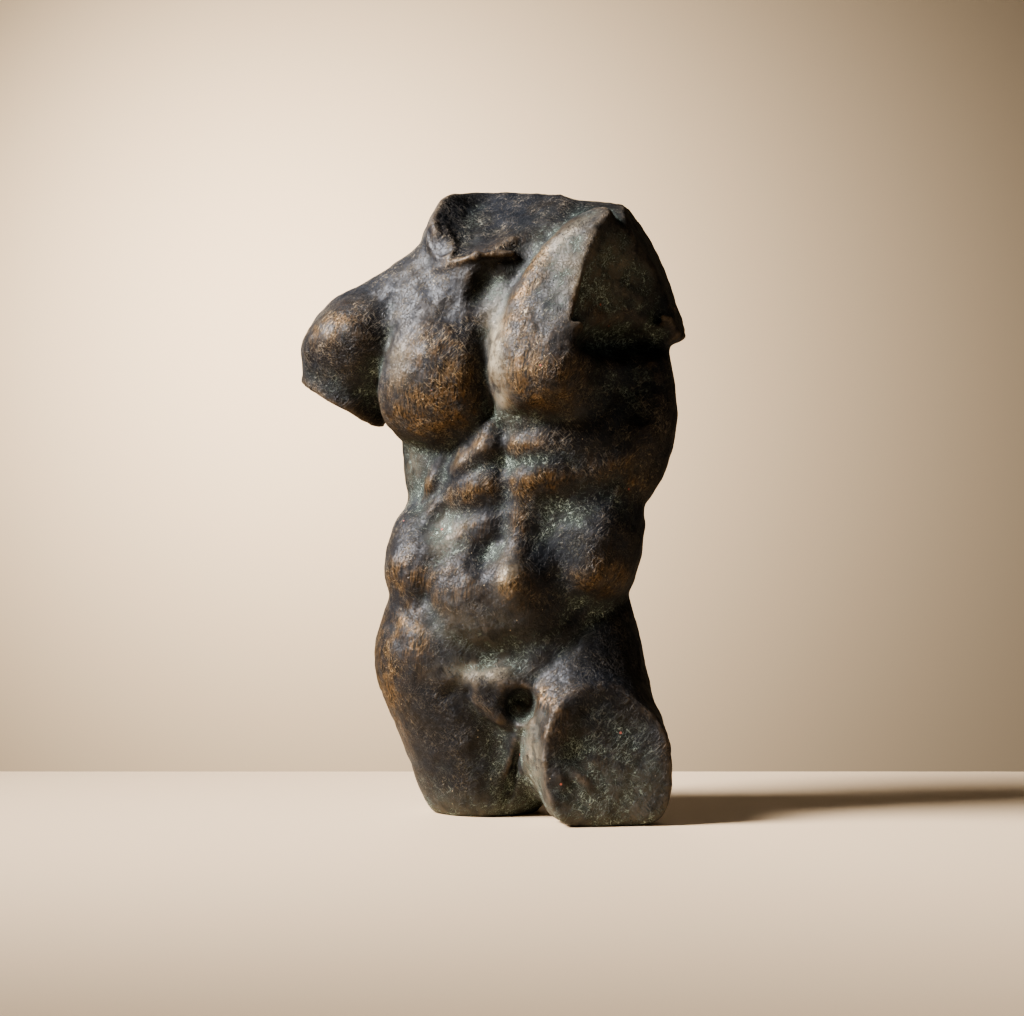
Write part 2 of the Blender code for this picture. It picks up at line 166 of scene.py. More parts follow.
@dataclass(frozen=True)
class Swell:
    """A soft rise of the surface that fades out all round, or a hollow where height is below zero."""

    centre: Point
    radii: Point
    height: float
    turn: Point = (0, 0, 0)
    square: float = 2.0

    def pressed_on(self, clay: np.ndarray, p: Places) -> np.ndarray:
        """Adds the rise.

        Args:
            clay: the clay's distances.
            p: the places they are for.

        Returns:
            The distances with the rise.
        """
        q = seen_from(self.centre, self.turn, p)
        reach = sum((q[i] / self.radii[i]) ** 2 for i in range(3)) ** (self.square / 2)
        return clay - self.height * np.exp(-reach)


@dataclass(frozen=True)
class Roll:
    """A tapering roll of clay with round ends."""

    start: Point
    end: Point
    start_radius: float
    end_radius: float
    soft: float = 0.02

    def distance(self, p: Places) -> np.ndarray:
        """Measures the roll.

        Args:
            p: the places.

        Returns:
            The distance from each place to the roll's surface, negative inside.
        """
        start, axis = np.array(self.start), np.array(self.end) - np.array(self.start)
        q = [p[i] - start[i] for i in range(3)]
        t = np.clip(sum(q[i] * axis[i] for i in range(3)) / (axis @ axis), 0, 1)
        gap = np.sqrt(sum((q[i] - t * axis[i]) ** 2 for i in range(3)))
        return gap - (self.start_radius + (self.end_radius - self.start_radius) * t)

    def pressed_on(self, clay: np.ndarray, p: Places) -> np.ndarray:
        """The clay with the roll added."""
        return merged(clay, self.distance(p), self.soft)


@dataclass(frozen=True)
class Break:
    """A plane where the sculpture is broken off: a place on it, and the way it faces."""

    place: Point
    facing: Point
    edge: float = 0.004

    def beyond(self, p: Places) -> np.ndarray:
        """How far each place lies beyond the plane."""
        facing = np.array(self.facing) / np.linalg.norm(self.facing)
        return sum((p[i] - self.place[i]) * facing[i] for i in range(3))

    def taken_off(self, clay: np.ndarray, p: Places) -> np.ndarray:
        """The clay with all that lies beyond the plane gone."""
        return cut(clay, self.beyond(p), self.edge)


@dataclass(frozen=True)
class Furrow:
    """A line drawn into the front or the back of the upright pose, as (across, height) points."""

    route: tuple[tuple[float, float], ...]
    width: float
    depth: float

    def pressed(self, q: Places) -> np.ndarray:
        """Works out how deep the line is.

        Args:
            q: places in the upright pose.

        Returns:
            The line's depth at each place, in metres.
        """
        nearest = np.full(q[0].shape, FAR)
        for (x0, z0), (x1, z1) in zip(self.route, self.route[1:]):
            run = np.hypot(x1 - x0, z1 - z0)
            t = np.clip(((q[0] - x0) * (x1 - x0) + (q[2] - z0) * (z1 - z0)) / run**2, 0, 1)
            gap = np.hypot(q[0] - x0 - t * (x1 - x0), q[2] - z0 - t * (z1 - z0))
            nearest = np.minimum(nearest, gap)
        return self.depth * np.exp(-((nearest / self.width) ** 2))


@dataclass(frozen=True)
class Wash:
    """A soft-edged patch of colour laid on the upright pose: its middle, its reach and its strength."""

    centre: Point
    radii: Point
    strength: float
    turn: float = 0.0

    def cover(self, q: Places) -> np.ndarray:
        """How strongly the patch colours each upright place."""
        q = seen_from(self.centre, (0, 0, self.turn), q)
        return self.strength * np.exp(-sum((q[i] / self.radii[i]) ** 2 for i in range(3)))


def along(stations: dict[float, tuple[float, ...]], height: np.ndarray) -> list[np.ndarray]:
    """The values of a table of stations, on a smooth curve through them.

    Args:
        stations: values by height.
        height: where the values are wanted.

    Returns:
        One array for each column of the table.
    """
    knots = np.array(sorted(stations))
    values = np.array([stations[k] for k in knots])
    slopes = np.gradient(values, knots, axis=0)
    height = np.clip(height, knots[0], knots[-1])
    i = np.clip(np.searchsorted(knots, height) - 1, 0, len(knots) - 2)
    step = knots[i + 1] - knots[i]
    t = (height - knots[i]) / step
    start, end = (1 + 2 * t) * (1 - t) ** 2, t * t * (3 - 2 * t)
    leave, arrive = t * (1 - t) ** 2 * step, t * t * (t - 1) * step
    return [
        values[i, c] * start + values[i + 1, c] * end + slopes[i, c] * leave + slopes[i + 1, c] * arrive
        for c in range(values.shape[1])
    ]


# ------------------------------------------------------------------------------------------------
# The sculpture's clay


class Stance:
    """The twisted, weight-shifted pose, by height: centre x, centre y, turn in degrees, rise across."""

    STATIONS = {
        0.00: (0.022, 0.004, 0.0, 0.00),
        0.10: (0.016, 0.004, 2.0, 0.00),
        0.17: (0.013, 0.002, 5.0, 0.00),
        0.24: (0.018, 0.000, 12.0, 0.02),
        0.31: (0.031, 0.000, 22.0, 0.06),
        0.38: (0.036, 0.000, 27.0, 0.13),
        0.45: (0.030, 0.000, 27.0, 0.18),
        0.52: (0.018, 0.004, 25.0, 0.18),
        0.66: (0.006, 0.010, 22.0, 0.16),
    }

    def upright(self, p: Places) -> Places:
        """Takes places back to the upright pose.

        Args:
            p: places in the standing pose.

        Returns:
            The same places in the upright pose: across, back and up.
        """
        centre_x, centre_y, turn, rise = along(self.STATIONS, p[2])
        turn = np.radians(turn)
        x, y = p[0] - centre_x, p[1] - centre_y
        across = x * np.cos(turn) - y * np.sin(turn)
        back = x * np.sin(turn) + y * np.cos(turn)
        return [across, back, p[2] - rise * across]


class Trunk:
    """The trunk's oval sections in the upright pose: half width, depth ahead and depth behind."""

    STATIONS = {
        0.06: (0.098, 0.048, 0.060),
        0.12: (0.112, 0.060, 0.070),
        0.18: (0.114, 0.062, 0.068),
        0.24: (0.108, 0.061, 0.060),
        0.30: (0.110, 0.060, 0.056),
        0.36: (0.118, 0.060, 0.064),
        0.42: (0.126, 0.060, 0.074),
        0.48: (0.120, 0.056, 0.078),
        0.53: (0.098, 0.048, 0.066),
        0.58: (0.070, 0.042, 0.054),
        0.66: (0.056, 0.040, 0.048),
    }
    CROTCH, CROTCH_ROUNDING = 0.085, 0.05

    def distance(self, q: Places) -> np.ndarray:
        """Measures the trunk.

        Args:
            q: places in the upright pose.

        Returns:
            The distance from each place to the trunk's surface, negative inside.
        """
        half_width, ahead, behind = along(self.STATIONS, q[2])
        depth = np.where(q[1] < 0, ahead, behind)
        reach = np.sqrt((q[0] / half_width) ** 2 + (q[1] / depth) ** 2)
        slope = np.sqrt((q[0] / half_width**2) ** 2 + (q[1] / depth**2) ** 2) + 1e-9
        return cut(reach * (reach - 1) / slope, self.CROTCH - q[2], self.CROTCH_ROUNDING)


@dataclass(frozen=True)
class Handwork:
    """The dabs and dents that hand modelling leaves: slow waves in many directions, over each other."""

    seed: int = 11
    waves: int = 28
    shortest: float = 0.009
    longest: float = 0.034
    depth: float = 0.00006
    growth: float = 0.7  # how much deeper the longer waves are

    def worked(self, clay: np.ndarray, p: Places) -> np.ndarray:
        """Makes the clay's surface gently uneven.

        Args:
            clay: the clay's distances.
            p: the places they are for.

        Returns:
            The distances with the dabs and dents.
        """
        draw = np.random.default_rng(self.seed)
        for _ in range(self.waves):
            facing = draw.normal(size=3)
            facing /= np.linalg.norm(facing)
            length = self.shortest * (self.longest / self.shortest) ** draw.random()
            turn = 2 * math.pi / length
            wave = np.sin(turn * sum(p[i] * facing[i] for i in range(3)) + draw.random() * 2 * math.pi)
            clay = clay + self.depth * (length / self.shortest) ** self.growth * wave
        return clay


@dataclass
class Torso:
    """The whole sculpture's clay, with its muscles, limbs and breaks."""

    stance: Stance = field(default_factory=Stance)
    trunk: Trunk = field(default_factory=Trunk)
    handwork: Handwork = field(default_factory=Handwork)

    BOTH_SIDES = (
        Lump((0.034, 0.008, 0.415), (0.090, 0.072, 0.128), (0, 0, 0), 0.030),  # rib cage
        Lump((0.106, 0.024, 0.405), (0.034, 0.052, 0.100), (0, 0, -4), 0.030),  # wing of the back
        Lump((0.078, -0.006, 0.258), (0.048, 0.054, 0.048), (0, 0, 0), 0.030, 2.2),  # flank roll
        Lump((0.084, 0.008, 0.165), (0.036, 0.054, 0.060), (0, 0, 0), 0.030),  # hip
        Lump((0.056, 0.054, 0.140), (0.058, 0.050, 0.066), (0, 0, 0), 0.020),  # seat
        Lump((0.028, 0.050, 0.310), (0.024, 0.024, 0.130), (0, 0, 0), 0.020),  # bar beside the spine
        Lump((0.070, 0.064, 0.455), (0.044, 0.026, 0.062), (0, 0, 16), 0.014, 2.2),  # shoulder blade
        Lump((0.070, 0.050, 0.360), (0.050, 0.030, 0.080), (0, 0, 14), 0.020),  # back under the blade
    )
    ONE_SIDE = (
        # right side
        Lump((-0.068, -0.045, 0.434), (0.066, 0.052, 0.064), (0, 10, 12), 0.014, 2.2),  # chest
        Lump((-0.106, -0.034, 0.436), (0.049, 0.047, 0.055), (0, 0, 0), 0.020),  # outer chest
        Lump((-0.066, -0.029, 0.490), (0.062, 0.044, 0.058), (0, 12, -8), 0.030, 2.2),  # upper chest
        # middle
        Lump((0.000, -0.022, 0.213), (0.078, 0.055, 0.056), (0, 0, 0), 0.020, 2.3),  # belly
        Lump((-0.008, -0.044, 0.126), (0.034, 0.027, 0.022), (0, 0, 0), 0.014),  # mound below it
    )
    LEFT_CHEST = (
        Lump((0.046, -0.046, 0.434), (0.062, 0.054, 0.054), (0, 12, 0), 0.020, 2.4),
        Lump((0.068, -0.040, 0.486), (0.062, 0.055, 0.084), (0, 10, 24), 0.020, 2.4),  # drawn up
        Roll((0.016, -0.044, 0.452), (0.096, -0.046, 0.552), 0.029, 0.034, 0.02),
    )
    LEFT_CHEST_INNER_FACE = Break((0.004, -0.084, 0.440), (-0.55, -0.83, 0.10), 0.022)
    LEFT_CHEST_UPPER_FACE = Break((0.034, -0.080, 0.510), (-0.66, -0.25, 0.71), 0.034)
    SWELLS = (
        # belly, right side of the sculpture
        Swell((-0.018, -0.070, 0.360), (0.016, 0.040, 0.010), 0.0070, (0, 0, -26)),  # first row
        Swell((-0.044, -0.070, 0.347), (0.018, 0.040, 0.009), 0.0050, (0, 0, -26)),
        Swell((-0.066, -0.055, 0.287), (0.016, 0.040, 0.013), -0.0060),  # waist
        Swell((-0.112, 0.000, 0.292), (0.024, 0.060, 0.020), 0.0090),  # its outer side
        Swell((-0.034, -0.070, 0.322), (0.030, 0.040, 0.019), 0.0085, (0, 0, -6), 2.3),  # second row
        Swell((-0.026, -0.070, 0.284), (0.022, 0.040, 0.016), 0.0022, (0, 0, 0), 2.2),  # third row
        Swell((-0.040, -0.070, 0.236), (0.028, 0.040, 0.026), 0.0010, (0, 0, 0), 2.5),  # by the navel
        Swell((-0.084, -0.050, 0.331), (0.008, 0.030, 0.013), 0.0050, (0, 0, 20)),  # rib end
        Swell((-0.076, -0.050, 0.306), (0.008, 0.030, 0.011), 0.0045, (0, 0, 20)),  # lower rib end
        Swell((-0.064, -0.060, 0.345), (0.009, 0.040, 0.036), -0.0035, (0, 0, 22)),  # under the rib arch
        # belly, left side
        Swell((0.032, -0.070, 0.358), (0.026, 0.040, 0.011), 0.0060, (0, 0, 2)),  # first row
        Swell((0.036, -0.070, 0.326), (0.032, 0.040, 0.016), 0.0075, (0, 0, 3), 2.3),  # second row
        Swell((0.018, -0.070, 0.284), (0.015, 0.040, 0.030), 0.0055, (0, 0, 6), 2.2),  # third row
        Swell((0.016, -0.078, 0.230), (0.017, 0.040, 0.022), 0.0110, (0, 0, -8), 2.2),  # by the navel
        Swell((0.104, -0.050, 0.333), (0.020, 0.040, 0.010), 0.0050, (0, 0, -20)),  # rib end
        Swell((0.122, -0.034, 0.314), (0.020, 0.040, 0.010), 0.0030, (0, 0, -20)),  # lower rib end
        # flanks and hips
        Swell((-0.100, -0.045, 0.240), (0.026, 0.040, 0.024), 0.0045, (0, 0, -20), 2.5),  # right flank
        Swell((0.100, -0.045, 0.232), (0.026, 0.040, 0.020), 0.0070, (0, 0, 15), 2.5),  # left flank
        Swell((-0.090, -0.050, 0.176), (0.012, 0.040, 0.026), 0.0030, (0, 0, -30)),  # right hip's crest
        Swell((-0.090, -0.050, 0.216), (0.024, 0.040, 0.016), 0.0040, (0, 0, -20)),  # above that hip
        Swell((0.085, -0.055, 0.285), (0.030, 0.040, 0.020), -0.0020),  # above the left flank
        Swell((-0.046, -0.070, 0.196), (0.030, 0.040, 0.030), 0.0020, (0, 0, 0), 2.5),  # lower belly
        Swell((-0.012, -0.060, 0.256), (0.012, 0.040, 0.018), -0.0075, (0, 0, 10)),  # navel
        Swell((0.056, -0.060, 0.278), (0.024, 0.040, 0.032), -0.0055, (0, 0, 0)),  # beside the belly
        Swell((0.058, -0.060, 0.225), (0.014, 0.040, 0.030), -0.0060, (0, 0, 12)),  # beside the flank
        # chest
        Swell((0.118, -0.045, 0.416), (0.024, 0.060, 0.058), -0.0120, (0, 0, 8)),  # behind the chest
        Swell((-0.008, -0.060, 0.516), (0.020, 0.040, 0.028), -0.0180, (0, 0, 30)),  # pit of the neck
        Swell((-0.068, -0.080, 0.514), (0.007, 0.040, 0.005), 0.0016),  # dab on the right chest
    )
    FRONT_FURROWS = (
        # breastbone, and the line down the belly
        Furrow(((-0.010, 0.50), (-0.013, 0.395)), 0.008, 0.007),
        Furrow(((0.002, 0.38), (0.002, 0.27)), 0.010, 0.004),
        # under the right chest, and under the left
        Furrow(((-0.125, 0.392), (-0.078, 0.362), (-0.034, 0.379), (-0.007, 0.400)), 0.010, 0.003),
        Furrow(
            ((0.008, 0.410), (0.025, 0.388), (0.056, 0.374), (0.089, 0.376), (0.108, 0.40)),
            0.010, 0.003,
        ),
        # right armpit
        Furrow(((-0.116, 0.520), (-0.130, 0.486), (-0.148, 0.440), (-0.150, 0.410)), 0.019, 0.013),
        # under the belly's second row
        Furrow(((-0.060, 0.303), (-0.008, 0.300)), 0.008, 0.0015),
        # groin, right and left, and the lower edge of the belly
        Furrow(((-0.106, 0.180), (-0.088, 0.150), (-0.062, 0.138), (-0.036, 0.120)), 0.014, 0.003),
        Furrow(((0.125, 0.216), (0.093, 0.194), (0.058, 0.160), (0.032, 0.134)), 0.010, 0.006),
        Furrow(
            ((-0.074, 0.215), (-0.060, 0.178), (-0.008, 0.160), (0.048, 0.176), (0.076, 0.208)),
            0.010, 0.003,
        ),
    )
    BACK_FURROWS = (
        Furrow(((0.000, 0.52), (0.000, 0.19)), 0.010, 0.008),  # spine
        Furrow(((0.000, 0.18), (0.000, 0.06)), 0.010, 0.010),  # parting of the seat
        Furrow(((0.030, 0.49), (0.036, 0.43), (0.070, 0.39), (0.112, 0.395)), 0.012, 0.005),  # blade
        Furrow(((0.010, 0.082), (0.050, 0.076), (0.090, 0.086)), 0.010, 0.006),  # fold under the seat
        Furrow(((0.018, 0.200), (0.048, 0.214), (0.100, 0.216)), 0.014, 0.005),  # loin
    )

    LEFT_CHEST_OUTER_FACE = Break((0.100, -0.0885, 0.571), (-0.33, -0.88, 0.34), 0.014)
    NECK_BREAK = Break((0.0062, -0.060, 0.5431), (-0.313, -0.573, 0.757))
    NECK_SIDE_BREAK = Break((-0.0441, -0.0546, 0.5330), (0.424, -0.648, 0.630))
    NECK_CORNER_BREAK = Break((-0.0530, 0.000, 0.6050), (-0.86, -0.10, 0.50), 0.006)
    SHOULDER_SLOPE = Roll((-0.014, 0.026, 0.556), (-0.126, 0.036, 0.469), 0.040, 0.049, 0.02)
    SHOULDER_SIDE = Break((-0.175, 0.000, 0.496), (-0.566, 0.000, 0.824), 0.03)
    TOP_BREAK = Break((0.0728, -0.100, 0.5560), (-0.396, -0.437, 0.808))
    HEIGHT_BREAK = Break((0.000, 0.000, CLAY_HEIGHT), (0.11, -0.04, 1.00), 0.010)
    HEIGHT_SIDE_BREAK = Break((-0.016, 0.000, CLAY_HEIGHT), (-0.16, -0.04, 1.00), 0.010)
    LEFT_FRONT_BREAK = Break((0.0872, -0.094, 0.499), (0.595, -0.80, -0.05))
    LEFT_EDGE_BREAK = Break((0.086, -0.100, 0.525), (0.96, -0.10, -0.25))
    LEFT_ARM_BREAK = Break((0.1418, 0.040, 0.596), (0.89, -0.20, 0.41))
    LEFT_ARM_CHIP = Break((0.186, -0.030, 0.473), (0.75, -0.20, -0.63))
    RIGHT_ARM_BREAK = Break((-0.150, 0.060, 0.402), (-0.50, 0.06, -0.86))
    LEFT_THIGH_BREAK = Break((0.110, -0.105, 0.060), (0.15, -0.975, 0.12))
    UNDER_LEFT_ARM = Break((0.090, -0.080, 0.474), (-0.25, 0.20, 0.95))
    LOINS = (
        Lump((-0.003, -0.060, 0.112), (0.024, 0.012, 0.012), (0, 0, 42), 0.006, 2.4),
        Lump((0.012, -0.060, 0.128), (0.016, 0.014, 0.012), (0, 0, 30), 0.008),
    )
    NECK_PIT = Lump((-0.012, -0.090, 0.514), (0.023, 0.046, 0.040), (0, 0, 30), 0.007)
    COLLARBONE = (
        Roll((-0.056, -0.026, 0.534), (-0.016, -0.057, 0.545), 0.003, 0.003, 0.006),
        Roll((-0.016, -0.057, 0.545), (0.018, -0.058, 0.547), 0.003, 0.002, 0.006),
    )
    BROKEN_OFF = Lump((0.0245, -0.076, 0.112), (0.015, 0.018, 0.016), (0, 0, 0), 0.010)
    STUB = Lump((0.0235, -0.058, 0.108), (0.006, 0.006, 0.006), (0, 0, 0), 0.006)
    MARKS = (
        Swell((-0.014, -0.064, 0.138), (0.030, 0.030, 0.010), 0.0060, (0, 0, -6)),  # above the loins
        Swell((-0.040, -0.055, 0.126), (0.006, 0.030, 0.018), -0.0030, (0, 0, 45)),  # beside the loins
        Swell((-0.024, -0.055, 0.125), (0.004, 0.020, 0.005), -0.0030),
        Swell((0.020, -0.045, 0.050), (0.004, 0.040, 0.050), -0.0040, (0, 0, 14)),  # between the thighs
        Swell((0.020, -0.084, 0.056), (0.016, 0.040, 0.044), 0.0060),  # inner side of the left thigh
        Swell((0.110, -0.104, 0.090), (0.044, 0.040, 0.036), -0.0050, (0, 0, 0), 2.6),  # thigh's break
        Swell((0.078, -0.108, 0.068), (0.014, 0.030, 0.016), -0.0060, (0, 0, -20)),
        Swell((0.083, -0.110, 0.046), (0.005, 0.030, 0.014), 0.0045, (0, 0, -48)),
        Swell((0.063, -0.110, 0.046), (0.005, 0.020, 0.009), 0.0030, (0, 0, -30)),
        Swell((0.112, -0.078, 0.500), (0.016, 0.030, 0.012), -0.0030),  # left shoulder's break
        Swell((0.122, -0.070, 0.530), (0.020, 0.030, 0.009), -0.0025, (0, 0, 30)),
        Swell((0.138, -0.056, 0.505), (0.018, 0.030, 0.008), 0.0020, (0, 0, 24)),
        Swell((0.172, -0.050, 0.092), (0.030, 0.080, 0.034), 0.0070),  # outer side of the left thigh
        Swell((-0.020, -0.045, 0.575), (0.018, 0.030, 0.012), 0.0025, (0, 0, 20)),  # in the neck's break
        Swell((0.012, -0.045, 0.560), (0.018, 0.030, 0.008), 0.0025, (0, 0, -30)),
        Swell((0.000, -0.035, 0.582), (0.010, 0.030, 0.014), -0.0030),
        Swell((0.045, -0.060, 0.572), (0.010, 0.030, 0.014), -0.0020, (0, 0, 55)),
    )
    CHIP = Break((-0.0530, -0.0250, 0.5640), (-0.34, -0.92, 0.20), 0.002)
    CHIPPED = Lump((-0.0535, -0.030, 0.5640), (0.012, 0.030, 0.019), (0, 0, -24), 0.002, 3.0)
    CHIP_DIMPLE = Swell((-0.0515, -0.024, 0.5620), (0.006, 0.020, 0.008), -0.0035, (0, 0, -24))
    CHIP_RIM = 0.0015
    CHIP_RIM_WIDTH = 0.0024
    BASE_EDGE, BELOW_BASE = 0.020, 0.004
    FRONT_TO_BACK = 0.005  # the depth over which front furrows give way to back ones

    # limbs, as far as they are left, and the hollows round them
    RIGHT_THIGH = Roll((-0.048, 0.006, 0.150), (-0.002, 0.012, -0.020), 0.068, 0.053)
    LEFT_THIGH = Roll((0.076, 0.004, 0.130), (0.115, -0.130, 0.036), 0.063, 0.060)
    LEFT_THIGH_UNDERSIDE = Roll((0.078, 0.000, 0.100), (0.105, -0.072, 0.036), 0.064, 0.058)
    RIGHT_SHOULDER = Lump((-0.137, 0.036, 0.4690), (0.0575, 0.058, 0.0455))
    RIGHT_ARM = Roll((-0.128, 0.049, 0.470), (-0.180, 0.062, 0.340), 0.050, 0.045)
    LEFT_ARM = Roll((0.060, 0.010, 0.535), (0.180, -0.030, 0.525), 0.068, 0.064)
    LEFT_ARM_RIDGE = Roll((0.030, 0.012, 0.580), (0.125, -0.004, 0.566), 0.032, 0.034, 0.012)
    LEFT_ARM_SWELL = Swell((0.155, 0.000, 0.540), (0.030, 0.060, 0.045), 0.006)
    LEFT_ARMPIT = Lump((0.151, -0.098, 0.466), (0.073, 0.064, 0.022), (0, -14, -6), 0.012)
    BEHIND_LEFT_CHEST = Lump((0.124, -0.137, 0.430), (0.030, 0.078, 0.064), (0, -14, 0), 0.030)
    BEHIND_LEFT_SHOULDER = Lump((0.088, 0.050, 0.478), (0.060, 0.034, 0.060), (0, 0, 0), 0.03)
    NECK = Roll((0.000, 0.004, 0.500), (-0.012, 0.016, 0.660), 0.062, 0.062)

    def body(self, p: Places) -> np.ndarray:
        """Models the trunk with its muscles and furrows, before the breaks are cut.

        Args:
            p: the places.

        Returns:
            The distance from each place to the trunk's surface, negative inside.
        """
        q = self.stance.upright(p)
        mirrored = [np.abs(q[0]), q[1], q[2]]
        clay = self.trunk.distance(q)
        for lump in self.BOTH_SIDES:
            clay = lump.pressed_on(clay, mirrored)
        for lump in self.ONE_SIDE:
            clay = lump.pressed_on(clay, q)
        chest = np.full(clay.shape, FAR)
        for lump in self.LEFT_CHEST:
            chest = lump.pressed_on(chest, q)
        for face in (self.LEFT_CHEST_INNER_FACE, self.LEFT_CHEST_UPPER_FACE):
            chest = face.taken_off(chest, q)
        clay = merged(clay, chest, soft=0.014)
        for swell in self.SWELLS:
            clay = swell.pressed_on(clay, q)
        ahead = 1 / (1 + np.exp(q[1] / self.FRONT_TO_BACK))
        for furrow in self.FRONT_FURROWS:
            clay = clay + ahead * furrow.pressed(q)
        for furrow in self.BACK_FURROWS:
            clay = clay + (1 - ahead) * furrow.pressed(mirrored)
        return clay

    def left_thigh(self, p: Places) -> np.ndarray:
        """The stump of the left thigh, brought forward and broken off in front."""
        thigh = self.LEFT_THIGH_UNDERSIDE.pressed_on(self.LEFT_THIGH.distance(p), p)
        return self.LEFT_THIGH_BREAK.taken_off(thigh, p)

    def right_arm(self, p: Places) -> np.ndarray:
        """The right shoulder and the stump of its hanging arm."""
        shoulder = self.SHOULDER_SIDE.taken_off(self.RIGHT_SHOULDER.distance(p), p)
        return self.RIGHT_ARM_BREAK.taken_off(self.RIGHT_ARM.pressed_on(shoulder, p), p)

    def with_left_arm(self, clay: np.ndarray, p: Places) -> np.ndarray:
        """Adds the root of the raised left arm, broken off in four faces, over a deep armpit.

        Args:
            clay: the clay's distances.
            p: the places they are for.

        Returns:
            The distances with the arm's root.
        """
        root = self.LEFT_ARM_RIDGE.pressed_on(self.LEFT_ARM.distance(p), p)
        for plane in (self.LEFT_ARM_CHIP, self.LEFT_ARM_BREAK):
            root = plane.taken_off(root, p)
        root = self.LEFT_ARM_SWELL.pressed_on(root, p)
        clay = self.LEFT_CHEST_OUTER_FACE.taken_off(merged(clay, root, soft=0.012), p)
        planes = (self.LEFT_FRONT_BREAK, self.LEFT_EDGE_BREAK, self.UNDER_LEFT_ARM)
        clay = cut(clay, np.minimum.reduce([plane.beyond(p) for plane in planes]), soft=0.005)
        clay = self.BEHIND_LEFT_CHEST.pressed_in(clay, p)
        return self.LEFT_ARMPIT.pressed_in(clay, p)

    def with_top_broken(self, clay: np.ndarray, p: Places) -> np.ndarray:
        """Breaks off the neck and the top of the left shoulder.

        Args:
            clay: the clay's distances.
            p: the places they are for.

        Returns:
            The distances of what is left.
        """
        for plane in (self.HEIGHT_BREAK, self.HEIGHT_SIDE_BREAK):
            clay = plane.taken_off(clay, p)
        over = merged(self.NECK_SIDE_BREAK.beyond(p), self.NECK_BREAK.beyond(p), soft=0.010)
        over = merged(over, self.TOP_BREAK.beyond(p), soft=0.012)
        return cut(clay, over, soft=self.NECK_BREAK.edge)

    def with_chip(self, clay: np.ndarray, p: Places) -> np.ndarray:
        """Knocks a small square chip out of the neck's edge, and raises a rim round it.

        Args:
            clay: the clay's distances.
            p: the places they are for.

        Returns:
            The distances with the chip.
        """
        chipped = self.CHIPPED.distance(p)
        chip = np.maximum(-self.CHIP.beyond(p), chipped)
        clay = self.CHIP_DIMPLE.pressed_on(cut(clay, -chip, soft=self.CHIP.edge), p)
        return clay - self.CHIP_RIM * np.exp(-((chipped / self.CHIP_RIM_WIDTH) ** 2))

    def distance(self, p: Places) -> np.ndarray:
        """Models the whole sculpture.

        Args:
            p: the places.

        Returns:
            The distance from each place to the sculpture's surface, negative inside.
        """
        clay = merged(self.body(p), self.RIGHT_THIGH.distance(p), soft=0.02)
        clay = merged(clay, self.left_thigh(p), soft=0.045)
        clay = self.BEHIND_LEFT_SHOULDER.pressed_on(clay, p)
        clay = merged(clay, self.NECK.distance(p), soft=0.012)
        clay = self.SHOULDER_SLOPE.pressed_on(self.NECK_CORNER_BREAK.taken_off(clay, p), p)
        clay = merged(clay, self.right_arm(p), soft=0.010)
        clay = self.with_top_broken(self.with_left_arm(clay, p), p)
        clay = self.NECK_PIT.pressed_in(clay, p)
        for piece in (*self.COLLARBONE, *self.LOINS):
            clay = piece.pressed_on(clay, p)
        clay = self.STUB.pressed_on(self.BROKEN_OFF.pressed_in(clay, p), p)
        for swell in self.MARKS:
            clay = swell.pressed_on(clay, p)
        clay = self.handwork.worked(self.with_chip(clay, p), p)
        return np.maximum(cut(clay, -p[2] - self.BELOW_BASE, soft=self.BASE_EDGE), -p[2])


# ------------------------------------------------------------------------------------------------
# Meshing


